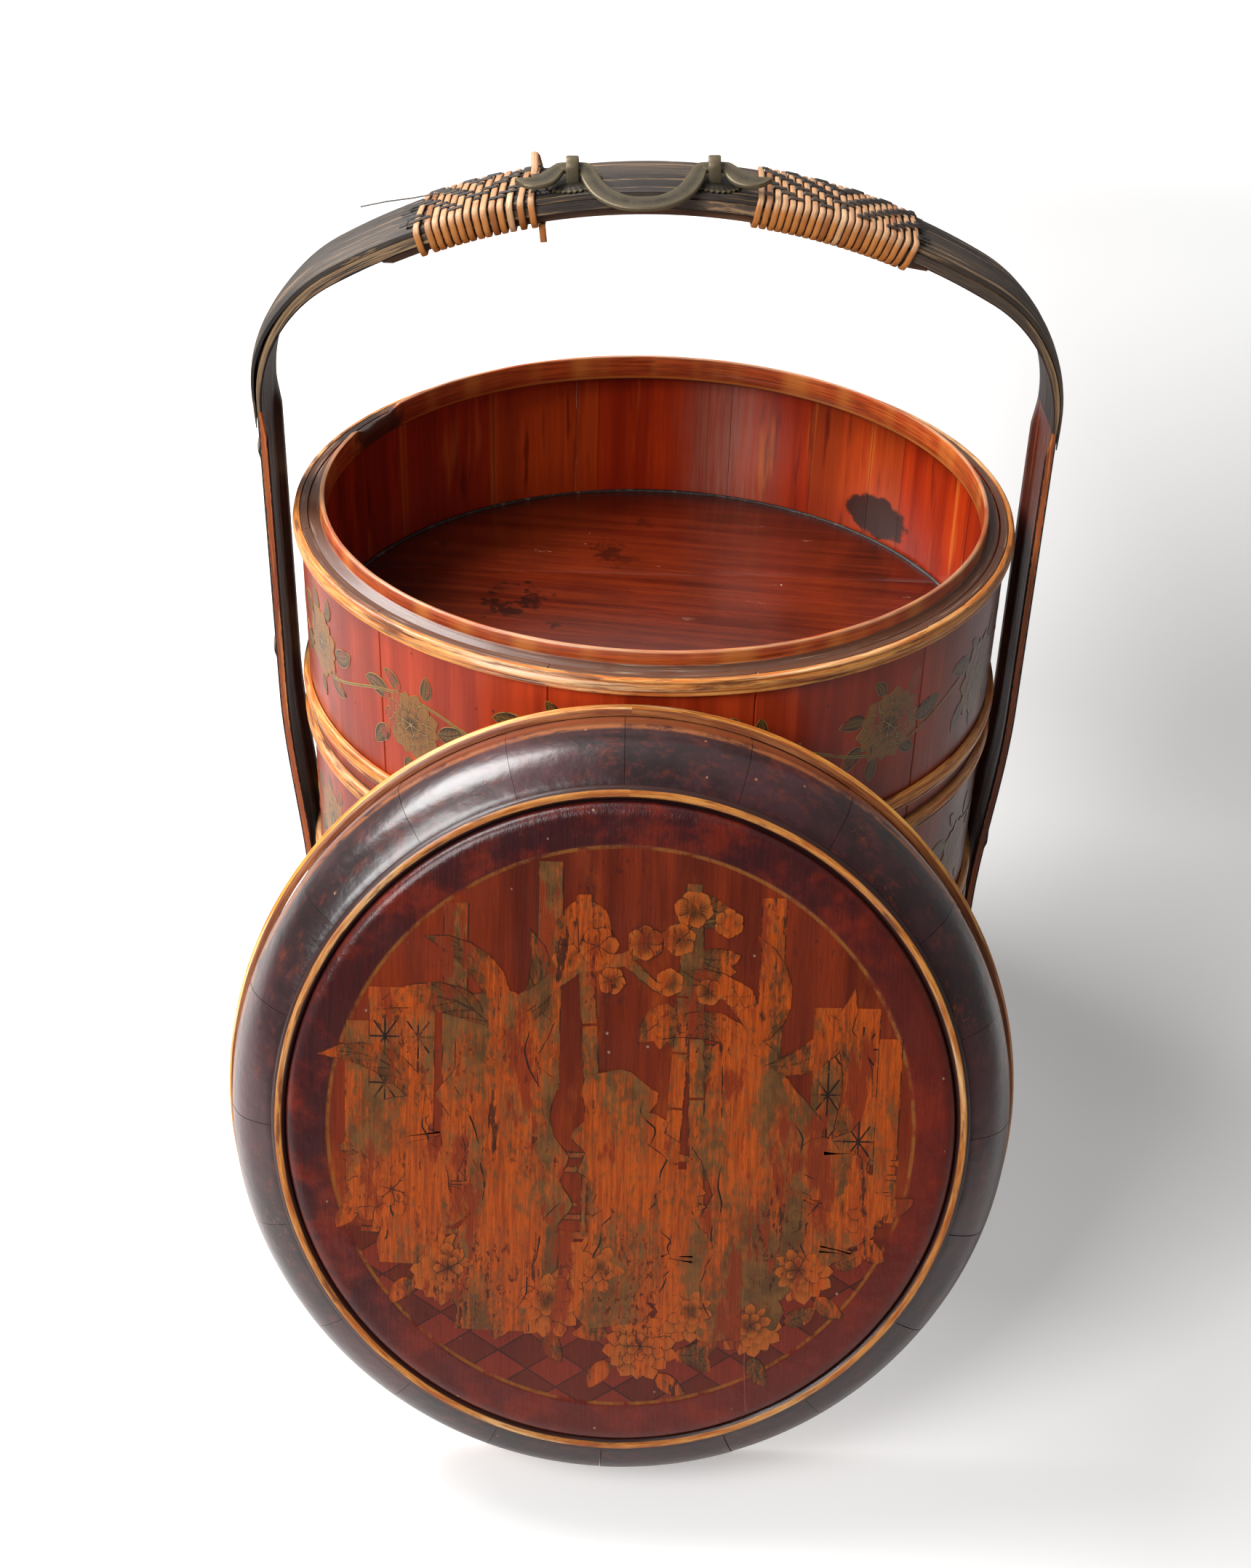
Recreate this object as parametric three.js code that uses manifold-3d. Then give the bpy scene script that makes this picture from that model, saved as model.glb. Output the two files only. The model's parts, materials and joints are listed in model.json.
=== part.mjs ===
// Round lacquered food carrier: three coopered tiers stacked on raised collars,
// split-bamboo hoops, a bent bamboo handle with channel-shaped legs, two cane
// windings on its grip, a forged bail in staple eyes, and the domed lid taken off
// and leaning in front. Millimetres, +Z up, the carrier's front towards -Y.
import * as THREE from 'three';
import { mergeVertices } from 'three/addons/utils/BufferGeometryUtils.js';
import Module from 'manifold-3d';

const wasm = await Module();
wasm.setup();

// Shared clearances and facet counts
const GAP = 0.3; // clearance between pieces that seat on each other
const SIDES = 48; // facets of every turned ring

// Coopered tiers
const WALL_R = 188.5; // outer radius of the stave wall
const WALL_T = 4.0; // thickness of a stave
const STAVES = 12; // staves in the upper and middle tiers
const BASE_STAVES = 8; // wider staves of the lowest tier
const JOINT_CHAMFER = 0.7; // eased outer edges at the stave joints
const TIER_PITCH = 112.5; // shoulder to shoulder
const FOOT_H = 23.5; // how far the lowest staves run on below their tier
const FLOOR_UP = 27.0; // floor's upper face above the tier's seat
const FLOOR_T = 9.0; // floor board
const COLLAR_IN = 9.3; // collar's inner face inside the wall's inner face
const COLLAR_NECK_T = 2.7; // thickness of the neck that stands up
const COLLAR_UP = 7.5; // neck above the shoulder
const COLLAR_DOWN = 7.0; // collar below the shoulder
const HOOP_T = 3.7; // how far a hoop stands off the wall
const HOOP_H = 9.0; // height of a hoop
const HOOP_UP = 10.0; // lower hoop above the tier's seat

// Lid
const LID_WALL_T = 5.3; // thickness of the lid's upright band
const LID_BAND_H = 27.5; // height of the upright band
const LID_TOP_H = 53.0; // height of the slope's upper edge
const LID_TOP_R = 160.5; // radius of the slope's upper edge
const LID_SHELL_T = 7.0; // thickness of the slope
const LID_LEDGE = 14.5; // width of the ledge that carries the panel
const LID_BULGE = 4.2; // how far the slope swells
const BEAD_R = 3.5; // half-round bead around the panel
const PANEL_H = 6.6; // height of the raised panel
const PANEL_CROWN = 1.4; // rise of the panel's middle
const LID_LEAN = 22.85; // least angle between the rim's plane and upright, in degrees
const LEAN_BELOW = 4.0; // the rim's upper edge at least this far below the stack's top hoop
const LID_X = -9.0; // where the lid leans, across the front
const LID_HOOP_T = 4.7; // how far the rim hoop stands off the band
const LID_FOLD = 1.3; // eased edge between band and slope

// Handle
const ARCH_RISE = 175.0; // top of the arch above the upper shoulder
const ARCH_R = 340.0; // radius of the flat top arc
const ARCH_CORNER_R = 85.0; // radius of the shoulders
const LEG_STAND = 17.0; // legs outside the hoops, at their widest
const LEG_BEND = 115.0; // where the legs start to lean in, below the shoulder
const LEG_LEAN_H = 140.0; // height over which they lean
const LEG_FOOT = 8.0; // legs' lower ends above the floor
const BAMBOO_W = 50.0; // width of the split culm
const BAMBOO_T = 7.0; // thickness over the arch
const BAMBOO_NECK_T = 5.4; // thickness at the shoulders
const LEG_FLANGE = 7.5; // depth of the legs' edges
const LEG_WEB = 4.6; // depth of the legs' middle
const FLANGE_W = 6.5; // width of each edge
const NOTCH_DROP = 12.0; // flanges start below the shoulders
const ARCH_SWELL = 200.0; // radius across the top
const LEG_SWELL = 105.0; // radius across the legs
const NODE_UP = 1.1; // ridge at a node of the culm
const NODE_HALF = 5.0; // half the length of that ridge
const NODES = { left: [26, 145], right: [260] }; // nodes of the culm, below the bend of the shoulder
const STRIP_T = 2.5; // outer strip over the arch
const STRIP_END_T = 1.0; // its feathered ends
const STRIP_W = 48.0;
const STRIP_DROP = 13.0; // strip's ends below the shoulders
const LATH_T = 4.0; // grip lath below the arch
const LATH_W = 40.0;
const LATH_LEFT = 143.0; // its reach on the left
const LATH_RIGHT = 135.0; // its reach on the right
const PEG_R = 3.5; // pegs through the legs
const PEG_UP = 74.0;
const PEG_HEAD = 1.2;

// Cane windings
const CANE_T = 1.4;
const CANE_LEFT = { turns: 14, from: -125.0, to: -61.0, width: 3.4, stub: 11.0 };
const CANE_RIGHT = { turns: 22, from: 43.5, to: 127.0, width: 3.1, stub: 0 };

// Bail and its fittings
const HARDWARE_X = -10.5; // middle of the fittings along the arch
const EYE_X = 34.5; // eyes from that middle
const EYE_Y = -8.0; // hinge line in front of the arch's middle
const EYE_UP = 5.2; // hinge line above the arch
const EYE_BORE = 4.2; // inner radius of an eye
const EYE_T = 1.6; // strip of an eye
const EYE_W = 6.0;
const EYE_TANG = 9.0; // tangs driven into the bamboo
const PLATE_R = 14.0; // half width of a backplate
const PLATE_T = 0.7; // thickness at its edge
const PLATE_DOME = 0.8; // rise of its middle
const PLATE_LOBES = 12;
const BAIL_T = 2.5; // thickness of the forged bar
const BAIL_DEPTH = 29.0; // loop below the hinge line
const BAIL_W = 10.0; // width of the bar at the loop
const TAIL_REACH = 27.5; // tails beyond the eyes

// Finishes
const finish = (color, roughness, metalness = 0) =>
  new THREE.MeshStandardMaterial({ color, roughness, metalness });
const RED = finish(0x7c2417, 0.35);
const INNER = finish(0x8a3412, 0.3);
const DARK = finish(0x3a2320, 0.35);
const BAMBOO = finish(0xc08038, 0.55);
const BLACK = finish(0x33302d, 0.5);
const CANE = finish(0xc69660, 0.6);
const IRON = finish(0x57503f, 0.45, 0.8);

const inner = WALL_R - WALL_T;
const hoopR = WALL_R + GAP + HOOP_T;
const collarR = inner - COLLAR_IN;
const neckR = collarR + COLLAR_NECK_T;
const rad = THREE.MathUtils.degToRad;
const span = (from, to, n) => Array.from({ length: n + 1 }, (_, i) => THREE.MathUtils.lerp(from, to, i / n));

// Closes a geometry: shared corners, faces outward.
function closed(geometry) {
  geometry.deleteAttribute('normal');
  geometry.deleteAttribute('uv');
  const g = mergeVertices(geometry, 1e-4);
  const p = g.attributes.position;
  const index = Array.from(g.index.array);
  const kept = [];
  let volume = 0;
  const [a, b, c] = [new THREE.Vector3(), new THREE.Vector3(), new THREE.Vector3()];
  for (let i = 0; i < index.length; i += 3) {
    const [i0, i1, i2] = index.slice(i, i + 3);
    if (i0 === i1 || i1 === i2 || i0 === i2) continue;
    kept.push(i0, i1, i2);
    a.fromBufferAttribute(p, i0);
    b.fromBufferAttribute(p, i1);
    c.fromBufferAttribute(p, i2);
    volume += a.dot(b.cross(c));
  }
  if (volume < 0) kept.reverse();
  g.setIndex(kept);
  g.computeVertexNormals();
  return g;
}

function toSolid(g) {
  const vertProperties = Float32Array.from(g.attributes.position.array);
  const triVerts = Uint32Array.from(g.index.array);
  return new wasm.Manifold(new wasm.Mesh({ numProp: 3, vertProperties, triVerts }));
}

// Cuts a list of geometries out of one.
function cut(geometry, tools) {
  let solid = toSolid(geometry);
  for (const tool of tools) solid = solid.subtract(toSolid(tool));
  const mesh = solid.getMesh();
  const g = new THREE.BufferGeometry();
  g.setAttribute('position', new THREE.BufferAttribute(Float32Array.from(mesh.vertProperties), 3));
  g.setIndex(Array.from(mesh.triVerts));
  g.computeVertexNormals();
  return g;
}

// A ring turned about Z from a closed profile of [radius, height] pairs.
function ring(profile, turned = SIDES) {
  const points = profile.map(([r, h]) => new THREE.Vector2(r, h));
  points.push(points[0].clone());
  const g = new THREE.LatheGeometry(points, turned);
  g.rotateX(Math.PI / 2);
  g.rotateZ(Math.PI / 2);
  return closed(g);
}

// A disc turned about Z from a profile that starts and ends on the axis.
function disc(profile, turned = SIDES) {
  const g = new THREE.LatheGeometry(profile.map(([r, h]) => new THREE.Vector2(r, h)), turned);
  g.rotateX(Math.PI / 2);
  g.rotateZ(Math.PI / 2);
  return closed(g);
}

// Skin over equal rings of points, closed by flat ends.
function loft(rings) {
  const n = rings[0].length;
  const position = rings.flat().flatMap((v) => [v.x, v.y, v.z]);
  const index = [];
  for (let i = 0; i + 1 < rings.length; i++) {
    for (let j = 0; j < n; j++) {
      const [p, q] = [i * n + j, i * n + ((j + 1) % n)];
      index.push(p, q, q + n, p, q + n, p + n);
    }
  }
  const last = (rings.length - 1) * n;
  const cap = (ring) => THREE.ShapeUtils.triangulateShape(planar(ring), []);
  for (const [i, j, k] of cap(rings[0])) index.push(k, j, i);
  for (const [i, j, k] of cap(rings.at(-1))) index.push(last + i, last + j, last + k);
  const g = new THREE.BufferGeometry();
  g.setAttribute('position', new THREE.Float32BufferAttribute(position, 3));
  g.setIndex(index);
  return closed(g);
}

// A section's points in its own plane, counter-clockwise about its area normal.
function planar(points) {
  const from = points.map((p) => p.clone().sub(points[0]));
  const w = new THREE.Vector3();
  from.slice(1).forEach((p, i) => w.add(new THREE.Vector3().crossVectors(from[i], p)));
  const u = from[1].clone().normalize();
  const v = new THREE.Vector3().crossVectors(w.normalize(), u);
  return from.map((p) => new THREE.Vector2(p.dot(u), p.dot(v)));
}

const part = new THREE.Group();
function add(group, name, geometry, material) {
  const mesh = new THREE.Mesh(geometry, material);
  mesh.name = name;
  group.add(mesh);
  return mesh;
}

// One stave: a sector of the wall with eased outer edges.
function stave(count, height) {
  const half = Math.PI / count;
  const steps = SIDES / count;
  const arc = (r, inset, dir) => {
    const out = [];
    const edge = half - inset / r;
    for (let i = 0; i <= steps; i++) {
      const t = dir * Math.max(-edge, Math.min(edge, -half + (2 * half * i) / steps));
      out.push(new THREE.Vector2(r * Math.cos(t), r * Math.sin(t)));
    }
    return out;
  };
  const outer = arc(WALL_R, GAP / 2 + JOINT_CHAMFER, 1);
  const eased = (sign) => {
    const r = WALL_R - JOINT_CHAMFER;
    const t = sign * (half - GAP / 2 / r);
    return new THREE.Vector2(r * Math.cos(t), r * Math.sin(t));
  };
  const shape = new THREE.Shape([eased(-1), ...outer, eased(1), ...arc(inner, GAP / 2, -1)]);
  return closed(new THREE.ExtrudeGeometry(shape, { depth: height, bevelEnabled: false }));
}

// Round face of a hoop between radii r0 and r1.
function crown(r0, r1, h) {
  const flank = r0 + 0.66 * (r1 - r0);
  return [[flank, 0.12 * h], [r1, 0.5 * h], [flank, 0.88 * h]];
}

// Half-round split-bamboo hoop on a band of radius r.
function hoop(r, thick, low) {
  const [r0, r1, h] = [r + GAP, r + thick, HOOP_H];
  return ring([[r0, low], ...crown(r0, r1, h).map(([r, z]) => [r, low + z]), [r0, low + h]]);
}

// One tier: staves, floor board, collar and two hoops. `foot` runs the staves on below.
function tier(name, seat, count, foot) {
  const g = new THREE.Group();
  const low = seat - foot + (foot ? 0 : GAP);
  const shoulder = seat + TIER_PITCH;
  for (let i = 0; i < count; i++) {
    const m = add(g, `${name}_stave_${i + 1}`, stave(count, shoulder - low), RED);
    m.position.z = low;
    m.rotation.z = (2 * Math.PI * i) / count;
  }
  const top = seat + FLOOR_UP;
  const fit = inner - GAP;
  add(g, `${name}_floor`, disc([[0, top - FLOOR_T], [fit, top - FLOOR_T], [fit, top], [0, top]]), INNER);
  add(g, `${name}_collar`, ring([
    [collarR, shoulder - COLLAR_DOWN], [fit, shoulder - COLLAR_DOWN], [fit, shoulder], [neckR, shoulder],
    [neckR, shoulder + COLLAR_UP], [collarR, shoulder + COLLAR_UP],
  ]), INNER);
  add(g, `${name}_top_hoop`, hoop(WALL_R, HOOP_T + GAP, shoulder - HOOP_H), BAMBOO);
  add(g, `${name}_low_hoop`, hoop(WALL_R, HOOP_T + GAP, seat - foot + HOOP_UP), BAMBOO);
  part.add(g);
}

const seats = [FOOT_H, FOOT_H + TIER_PITCH, FOOT_H + 2 * TIER_PITCH];
tier('lower', seats[0], BASE_STAVES, FOOT_H);
tier('middle', seats[1], STAVES, 0);
tier('upper', seats[2], STAVES, 0);
const stackTop = seats[2] + TIER_PITCH;

// Lid, in its own frame: rim plane at z = 0, panel towards +z.
function lid() {
  const g = new THREE.Group();
  const rimIn = neckR + 2 * GAP;
  const rimOut = rimIn + LID_WALL_T;
  const ledge = LID_TOP_R - LID_LEDGE;
  const fold = rimOut - LID_FOLD;
  const slope = Math.atan2(LID_TOP_H - LID_BAND_H, fold - LID_TOP_R);
  const outer = span(0, 1, 5).map((t) => {
    const out = LID_BULGE * Math.sin(Math.PI * t);
    const r = THREE.MathUtils.lerp(fold, LID_TOP_R, t) + out * Math.sin(slope);
    return [r, THREE.MathUtils.lerp(LID_BAND_H, LID_TOP_H, t) + out * Math.cos(slope)];
  });
  const under = outer.slice(1, -1).reverse()
    .map(([r, h]) => [r - LID_SHELL_T * Math.sin(slope), h - LID_SHELL_T * Math.cos(slope)])
    .filter(([r]) => r > ledge && r < rimIn);
  add(g, 'lid_ring', ring([
    [rimIn, 0], [rimOut, 0], [rimOut, LID_BAND_H - 2 * LID_FOLD], ...outer,
    [ledge, LID_TOP_H], [ledge, LID_TOP_H - LID_SHELL_T], ...under, [rimIn, LID_BAND_H - LID_SHELL_T],
  ]), DARK);
  add(g, 'lid_hoop', hoop(rimOut, LID_HOOP_T + GAP, 0), BAMBOO);
  const beadR = LID_TOP_R - BEAD_R;
  const base = LID_TOP_H + GAP;
  const round = span(0, Math.PI, 5).map((a) => [beadR + BEAD_R * Math.cos(a), base + BEAD_R * Math.sin(a)]);
  add(g, 'lid_bead', ring(round), BAMBOO);
  const panelR = beadR - BEAD_R - GAP;
  const crest = base + PANEL_H;
  add(g, 'lid_panel', disc([
    [0, base], [panelR, base], [panelR, base + 0.35 * PANEL_H],
    [panelR - 0.25 * PANEL_H, base + 0.75 * PANEL_H], [panelR - PANEL_H, crest],
    [0.55 * panelR, crest + 0.75 * PANEL_CROWN], [0, crest + PANEL_CROWN],
  ]), RED);
  // The rim stands on the floor and its upper edge leans on the upper tier.
  const rim = rimOut + LID_HOOP_T + GAP;
  const reachUp = (stackTop - HOOP_H - LEAN_BELOW) / (2 * rim);
  const turn = Math.asin(Math.min(Math.cos(rad(LID_LEAN)), reachUp));
  const profile = [[rimOut + GAP, 0], ...crown(rimOut + GAP, rim, HOOP_H)];
  const low = Math.min(...profile.map(([r, h]) => -r * Math.sin(turn) + h * Math.cos(turn)));
  const back = Math.max(...profile.map(([r, h]) => r * Math.cos(turn) - h * Math.sin(turn)));
  g.rotation.x = turn;
  g.position.set(LID_X, -WALL_R - GAP - back, -low);
  part.add(g);
}
lid();

// The arch's outer line: flat top arc, round shoulders and legs, for the right half.
// A station holds the point on the outer face and the direction into the bamboo.
const archTop = stackTop + ARCH_RISE;
const legX = hoopR + LEG_STAND;
const arcZ = archTop - ARCH_R;
const cornerX = legX - ARCH_CORNER_R;
const cornerZ = arcZ + Math.sqrt((ARCH_R - ARCH_CORNER_R) ** 2 - cornerX ** 2);
const turnIn = Math.atan2(cornerX, cornerZ - arcZ);
const arcLength = ARCH_R * turnIn;
const cornerLength = ARCH_CORNER_R * (Math.PI / 2 - turnIn);
const legStart = arcLength + cornerLength;
const legLength = cornerZ - LEG_FOOT;
const edgeY = BAMBOO_W / 2 - FLANGE_W;
const footX = Math.sqrt(hoopR ** 2 - edgeY ** 2) + GAP + LEG_FLANGE + STRIP_END_T + GAP;
const bendZ = stackTop - LEG_BEND;

// Point and inward normal at a length s from the crown of the arch, and `deep` below the face.
function onArch(s, deep) {
  const side = Math.sign(s) || 1;
  const l = Math.abs(s);
  const out = { y: 0 };
  let [nx, nz] = [-1, 0];
  if (l <= arcLength) {
    const a = l / ARCH_R;
    [nx, nz] = [-Math.sin(a), -Math.cos(a)];
    out.x = ARCH_R * Math.sin(a);
    out.z = arcZ + ARCH_R * Math.cos(a);
  } else if (l <= legStart) {
    const a = turnIn + (l - arcLength) / ARCH_CORNER_R;
    [nx, nz] = [-Math.sin(a), -Math.cos(a)];
    out.x = cornerX + ARCH_CORNER_R * Math.sin(a);
    out.z = cornerZ + ARCH_CORNER_R * Math.cos(a);
  } else {
    out.z = cornerZ - (l - legStart);
    const t = THREE.MathUtils.clamp((bendZ - out.z) / LEG_LEAN_H, 0, 1);
    out.x = THREE.MathUtils.lerp(legX, footX, t * t * (3 - 2 * t));
  }
  return { x: side * (out.x + nx * deep), z: out.z + nz * deep, nx: side * nx, nz };
}

const stripEnd = legStart + STRIP_DROP;
// Thickness of the outer strip, feathered towards its ends.
function stripT(s) {
  const t = THREE.MathUtils.clamp((Math.abs(s) - arcLength) / (stripEnd - arcLength), 0, 1);
  return THREE.MathUtils.lerp(STRIP_T, STRIP_END_T, t);
}
// Radius of the swell across the bamboo.
function swell(s) {
  const t = THREE.MathUtils.clamp((Math.abs(s) - arcLength) / cornerLength, 0, 1);
  return THREE.MathUtils.lerp(ARCH_SWELL, LEG_SWELL, t);
}

// A section across the handle at s: [y, depth] pairs turned into points.
const section = (s, pairs) =>
  pairs.map(([y, deep]) => {
    const p = onArch(s, deep);
    return new THREE.Vector3(p.x, y, p.z);
  });

// The split culm itself, from foot to foot.
const notch = legStart + NOTCH_DROP;
// Lengths where the strip and the culm below it have their sections.
const archLine = [...span(0, arcLength, 8), ...span(arcLength, legStart, 7).slice(1), stripEnd];
const mirrored = (list) => [...list.slice(1).reverse().map((s) => -s), ...list];
function bamboo() {
  const bend = legStart + cornerZ - bendZ;
  const lengths = [
    ...archLine, notch - 4, notch + 4, ...span(notch + 2.5 * NOTCH_DROP, bend, 2),
    ...span(bend, bend + LEG_LEAN_H, 6), legStart + legLength,
  ];
  const stations = (nodes) => {
    const ridges = nodes.flatMap((d) => [-NODE_HALF, 0, NODE_HALF].map((o) => legStart + d + o));
    return [...new Set([...lengths, ...ridges])].sort((p, q) => p - q);
  };
  const line = [...stations(NODES.left).slice(1).reverse().map((s) => -s), ...stations(NODES.right)];
  const half = BAMBOO_W / 2;
  const rings = line.map((s) => {
    const l = Math.abs(s);
    const nodes = s < 0 ? NODES.left : NODES.right;
    const ridge = nodes.some((d) => Math.abs(l - legStart - d) < 1) ? NODE_UP : 0;
    const top = stripT(s) + GAP;
    const face = (y) => top - ridge + (y * y) / (2 * swell(s));
    const leg = THREE.MathUtils.clamp((l - notch + 4) / 8, 0, 1);
    const neck = THREE.MathUtils.clamp((l - arcLength) / cornerLength, 0, 1);
    const thin = THREE.MathUtils.lerp(BAMBOO_T, BAMBOO_NECK_T, neck);
    const flange = top + THREE.MathUtils.lerp(thin, LEG_FLANGE, leg);
    const web = top + THREE.MathUtils.lerp(thin, LEG_WEB, leg);
    const channelY = edgeY - 3.5;
    return section(s, [
      ...span(-half, half, 6).map((y) => [y, face(y)]),
      [half, flange], [edgeY, flange], [channelY, web], [-channelY, web], [-edgeY, flange], [-half, flange],
    ]);
  });
  return loft(rings);
}

// A strip that follows the arch along a list of lengths, `top` below its outer line.
function lath(line, width, top, thick) {
  const half = width / 2;
  const across = span(-half, half, 4);
  return loft(line.map((s) => section(s, [
    ...across.map((y) => [y, top(s, y)]),
    ...across.toReversed().map((y) => [y, top(s, y) + thick(s)]),
  ])));
}

// Frame of the fittings: on the arch's outer line, x along it, z outward.
const hardware = new THREE.Matrix4();
{
  const a = Math.asin(HARDWARE_X / ARCH_R);
  hardware.makeRotationY(a).setPosition(ARCH_R * Math.sin(a), 0, arcZ + ARCH_R * Math.cos(a));
}
const drop = EYE_X ** 2 / (2 * ARCH_R); // arch below the fittings' level at an eye
// The bail rests on the strip's front edge.
const fall = EYE_UP + (STRIP_W / 2) ** 2 / (2 * ARCH_SWELL);
const reach = STRIP_W / 2 + EYE_Y;
const bailTilt = Math.atan2(fall, reach) - Math.asin((BAIL_T / 2 + GAP) / Math.hypot(fall, reach));
const atEye = (side) => new THREE.Matrix4().makeTranslation(side * EYE_X, EYE_Y, 0).premultiply(hardware);

// A staple eye: an upright U of strip with its tangs in the bamboo.
function eye(side) {
  const r = EYE_BORE + EYE_T;
  const shape = new THREE.Shape();
  shape.moveTo(-r, -drop - EYE_TANG);
  shape.lineTo(-r, EYE_UP);
  shape.absarc(0, EYE_UP, r, Math.PI, 0, true);
  shape.lineTo(r, -drop - EYE_TANG);
  shape.lineTo(EYE_BORE, -drop - EYE_TANG);
  shape.lineTo(EYE_BORE, EYE_UP);
  shape.absarc(0, EYE_UP, EYE_BORE, 0, Math.PI, false);
  shape.lineTo(-EYE_BORE, -drop - EYE_TANG);
  const g = new THREE.ExtrudeGeometry(shape, { depth: EYE_W, bevelEnabled: false, curveSegments: 8 });
  g.translate(0, 0, -EYE_W / 2);
  g.rotateX(Math.PI / 2);
  g.rotateZ(Math.PI / 2);
  g.applyMatrix4(atEye(side));
  return closed(g);
}

// Slots for the two tangs of an eye.
function slots(side) {
  return [-1, 1].map((s) => {
    const deep = EYE_TANG + GAP;
    const g = new THREE.BoxGeometry(EYE_W + 2 * GAP, EYE_T + 2 * GAP, deep + EYE_UP);
    g.translate(0, s * (EYE_BORE + EYE_T / 2), (EYE_UP - deep) / 2 - drop);
    g.applyMatrix4(atEye(side));
    return closed(g);
  });
}

// A scalloped, domed backplate, bent to the arch's slope and swell at its eye.
function plate(side) {
  const n = PLATE_LOBES * 3;
  const lobed = (scale, z) => {
    const out = [];
    for (let i = 0; i < n; i++) {
      const a = (2 * Math.PI * i) / n;
      const r = PLATE_R * scale * (1 + 0.05 * Math.cos(PLATE_LOBES * a));
      const y = r * Math.sin(a);
      out.push(new THREE.Vector3(r * Math.cos(a), y, z - (y + EYE_Y) ** 2 / (2 * ARCH_SWELL)));
    }
    return out;
  };
  const g = loft([lobed(1, 0), lobed(1, PLATE_T), lobed(0.6, PLATE_T + PLATE_DOME)]);
  g.translate(0, 0, GAP);
  g.rotateY(Math.asin((side * EYE_X) / ARCH_R));
  g.translate(0, 0, -drop);
  g.applyMatrix4(atEye(side));
  return closed(g);
}

// The bail: a flat forged bar, wide in its loop, straight in the eyes, with crescent tails.
function bail() {
  const straight = EYE_W / 2 + 2 * GAP;
  const neck = EYE_BORE - 2.8 * GAP; // half width of the bar inside an eye
  const loop = [
    [EYE_X - straight, 0, neck], [EYE_X - straight - 2.4, 0.06 * BAIL_DEPTH, neck + 0.3],
    [0.72 * EYE_X, 0.36 * BAIL_DEPTH, 0.43 * BAIL_W], [0.56 * EYE_X, 0.7 * BAIL_DEPTH, 0.48 * BAIL_W],
    [0.3 * EYE_X, 0.94 * BAIL_DEPTH, BAIL_W / 2], [0, BAIL_DEPTH, BAIL_W / 2],
  ];
  const tail = [
    [EYE_X + straight, 0, neck], [EYE_X + straight + 2.4, 0.05 * BAIL_DEPTH, neck + 0.3],
    [EYE_X + 0.46 * TAIL_REACH, 0.33 * BAIL_DEPTH, 0.44 * BAIL_W],
    [EYE_X + 0.74 * TAIL_REACH, 0.42 * BAIL_DEPTH, 0.33 * BAIL_W],
    [EYE_X + TAIL_REACH, 0.34 * BAIL_DEPTH, 0.06 * BAIL_W],
  ];
  const flip = (list) => list.map(([x, d, w]) => [-x, d, w]);
  // Smooth run through [x, depth, half width] triples, three steps to a span.
  const run = (list) => {
    const points = list.map(([x, d]) => new THREE.Vector3(x, -d, 0));
    const line = new THREE.CatmullRomCurve3(points, false, 'centripetal');
    const n = list.length - 1;
    return span(0, n, 3 * n).map((t) => {
      const k = Math.min(n - 1, Math.floor(t));
      return { at: line.getPoint(t / n), w: THREE.MathUtils.lerp(list[k][2], list[k + 1][2], t - k) };
    });
  };
  const bow = [...flip(loop), ...loop.slice(0, -1).reverse()];
  const centre = [...run(flip(tail).reverse()), ...run(bow), ...run(tail)];
  const [upper, lower] = [[], []];
  centre.forEach(({ at, w }, i) => {
    const next = centre[Math.min(i + 1, centre.length - 1)].at;
    const d = next.clone().sub(centre[Math.max(i - 1, 0)].at).normalize();
    upper.push(new THREE.Vector2(at.x - d.y * w, at.y + d.x * w));
    lower.push(new THREE.Vector2(at.x + d.y * w, at.y - d.x * w));
  });
  const shape = new THREE.Shape([...lower, ...upper.reverse()]);
  const g = new THREE.ExtrudeGeometry(shape, { depth: BAIL_T, bevelEnabled: false });
  g.translate(0, 0, -BAIL_T / 2);
  g.rotateX(bailTilt);
  g.translate(0, EYE_Y, EYE_UP);
  g.applyMatrix4(hardware);
  return closed(g);
}

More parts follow.
